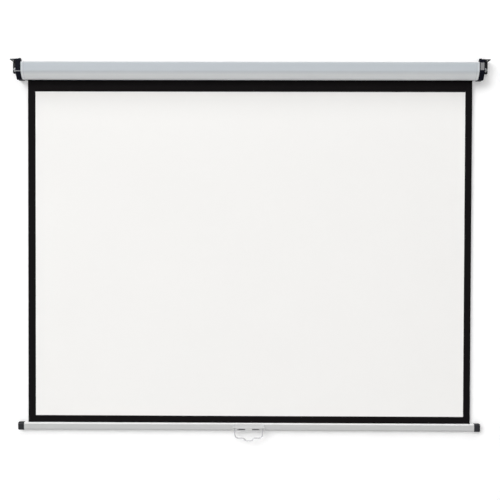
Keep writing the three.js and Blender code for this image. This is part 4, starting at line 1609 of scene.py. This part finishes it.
@dataclass
class Studio:
    """White wall, pale floor, soft lamps and the photograph's camera.

    The white that the wall shows the eye rises from wall_lift to upper_lift between two heights, lift_from and
    lift_to: painted light above the case, which washes out the case's shadow from the low lamp.
    """

    wall_lift: float = 0.2
    upper_lift: float = 0.3
    lift_from: float = 0.03
    lift_to: float = 0.06
    wall_half: float = 6.0
    wall_top: float = 4.0
    floor_half: float = 9.0
    floor_z: float = -2.3
    world_strength: float = 0.05
    lens_angle: float = 29.0
    eye: Point3 = (0.0326, -3.4007, -0.5505)
    yaw: float = -0.5042
    pitch: float = -1.1824
    roll: float = 0.1678
    lamps: tuple[SoftBox, ...] = (
        SoftBox("key_lamp", (-8.2, -14.3, 6.7), (0, 0, -0.6), 10.0, 2110),
        SoftBox("top_lamp", (0.6, -6.5, 9.0), (0, 0, -0.6), 6.0, 330),
        SoftBox("low_lamp", (0.3, -4.6, -2.1), (0, 0, -0.4), 4.0, 36),
        SoftBox("window_lamp", (2.34, -7.0, 1.17), (0.8, 0, 0), 1.3, 30),
        SoftBox("rear_lamp", (0.4, 3.4, 0.6), (0, 0, -0.6), 2.6, 50),
    )

    def paper(self, name: str, one_sided: bool) -> Material:
        """White paper that shows pure white to the camera where no shadow falls on it.

        Args:
            name: The material's name.
            one_sided: Whether it is clear from behind and to light on its way to the object.

        Returns:
            The material.
        """
        graph = ShaderGraph(name)
        seen = graph.seen()
        fibres = graph.blend(graph.noise(PLAIN, 700, 3), (0.86, 0.86, 0.86), (0.88, 0.88, 0.88))
        paint = graph.add("ShaderNodeBsdfDiffuse", {"Color": fibres})
        _, _, up = graph.axes(graph.place())
        # Painted light: the wall glows more above the case, washing out the case's shadow from the low lamp.
        lift = graph.spread(up, self.wall_lift, self.upper_lift, self.lift_from, self.lift_to)
        glow = graph.add("ShaderNodeEmission", {"Strength": graph.math("MULTIPLY", seen, lift)})
        both = graph.add("ShaderNodeAddShader", {0: paint.outputs["BSDF"], 1: glow.outputs["Emission"]})
        if not one_sided:
            return graph.show(both.outputs["Shader"])
        clear = graph.add("ShaderNodeBsdfTransparent").outputs["BSDF"]
        back = graph.add("ShaderNodeNewGeometry").outputs["Backfacing"]
        shown = graph.math("MULTIPLY", seen, graph.math("SUBTRACT", 1.0, back))
        mix = graph.add("ShaderNodeMixShader", {"Fac": shown, 1: clear, 2: both.outputs["Shader"]})
        return graph.show(mix.outputs["Shader"])

    def sheet(self, name: str, corners: Sequence[Point3], finish: Material) -> None:
        """Adds one flat stage sheet.

        Args:
            name: Its name.
            corners: Its corners, anticlockwise as seen from the side that shows.
            finish: Its material.
        """
        mesh = bpy.data.meshes.new(name)
        mesh.from_pydata(corners, [], [(0, 1, 2, 3)])
        mesh.materials.append(finish)
        link_object(name, mesh)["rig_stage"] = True

    def world(self) -> None:
        """Makes the surroundings white to the eye and soft as a light."""
        world = bpy.data.worlds.new("studio_air")
        bpy.context.scene.world = world
        world.use_nodes = True
        sky = NodeBuilder(world.node_tree)
        level = sky.spread(sky.seen(), self.world_strength, 1.0, 0.0, 1.0)
        air = sky.add("ShaderNodeBackground", {"Color": (*WHITE, 1.0), "Strength": level})
        sky.add("ShaderNodeOutputWorld", {"Surface": air.outputs["Background"]})

    def camera(self) -> None:
        """Sets the camera at the photograph's place."""
        data = bpy.data.cameras.new("photo_camera")
        data.sensor_width = 36.0
        data.lens = data.sensor_width / 2 / math.tan(math.radians(self.lens_angle) / 2)
        data.clip_end = 50
        yaw, pitch, roll = (math.radians(angle) for angle in (self.yaw, self.pitch, self.roll))
        ahead = Vector((math.sin(yaw) * math.cos(pitch), math.cos(yaw) * math.cos(pitch), math.sin(pitch)))
        turn = ahead.to_track_quat("-Z", "Y").to_matrix().to_4x4()
        eye = bpy.data.objects.new("photo_camera", data)
        eye.matrix_world = Matrix.Translation(self.eye) @ turn @ Matrix.Rotation(roll, 4, "Z")
        bpy.context.scene.collection.objects.link(eye)
        bpy.context.scene.camera = eye

    def build(self) -> None:
        """Sets up the whole studio."""
        wall, floor = self.wall_half, self.floor_half
        low, high = self.floor_z, self.wall_top
        self.sheet("studio_wall", [(-wall, 0, low), (wall, 0, low), (wall, 0, high), (-wall, 0, high)],
                   self.paper("wall_paint", True))
        self.sheet("studio_floor", [(-floor, -floor, low), (floor, -floor, low), (floor, floor, low),
                                    (-floor, floor, low)], self.paper("floor_paper", False))
        for lamp in self.lamps:
            lamp.build()
        self.world()
        self.camera()
        bpy.context.scene.view_settings.view_transform = "Standard"


def corners(box: tuple[Vector, Vector]) -> list[list[float]]:
    """A box as plain lists."""
    return [list(corner) for corner in box]


def main() -> None:
    """Builds the screen and its studio, in order."""
    logging.basicConfig(level=logging.INFO, format="%(name)s: %(message)s")
    frame_box = corners(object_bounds())
    finishes = Finishes()
    Studio().build()
    CaseAssembly(finishes).build()
    EndFittings(finishes).build()
    RollerAssembly(finishes).build()
    PictureCloth().build()
    BottomBar(finishes).build()
    PullHandle(finishes).build()
    Fasteners(finishes).build()
    {"frame": frame_box, "dressed": corners(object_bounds())}


if __name__ == "__main__":
    main()
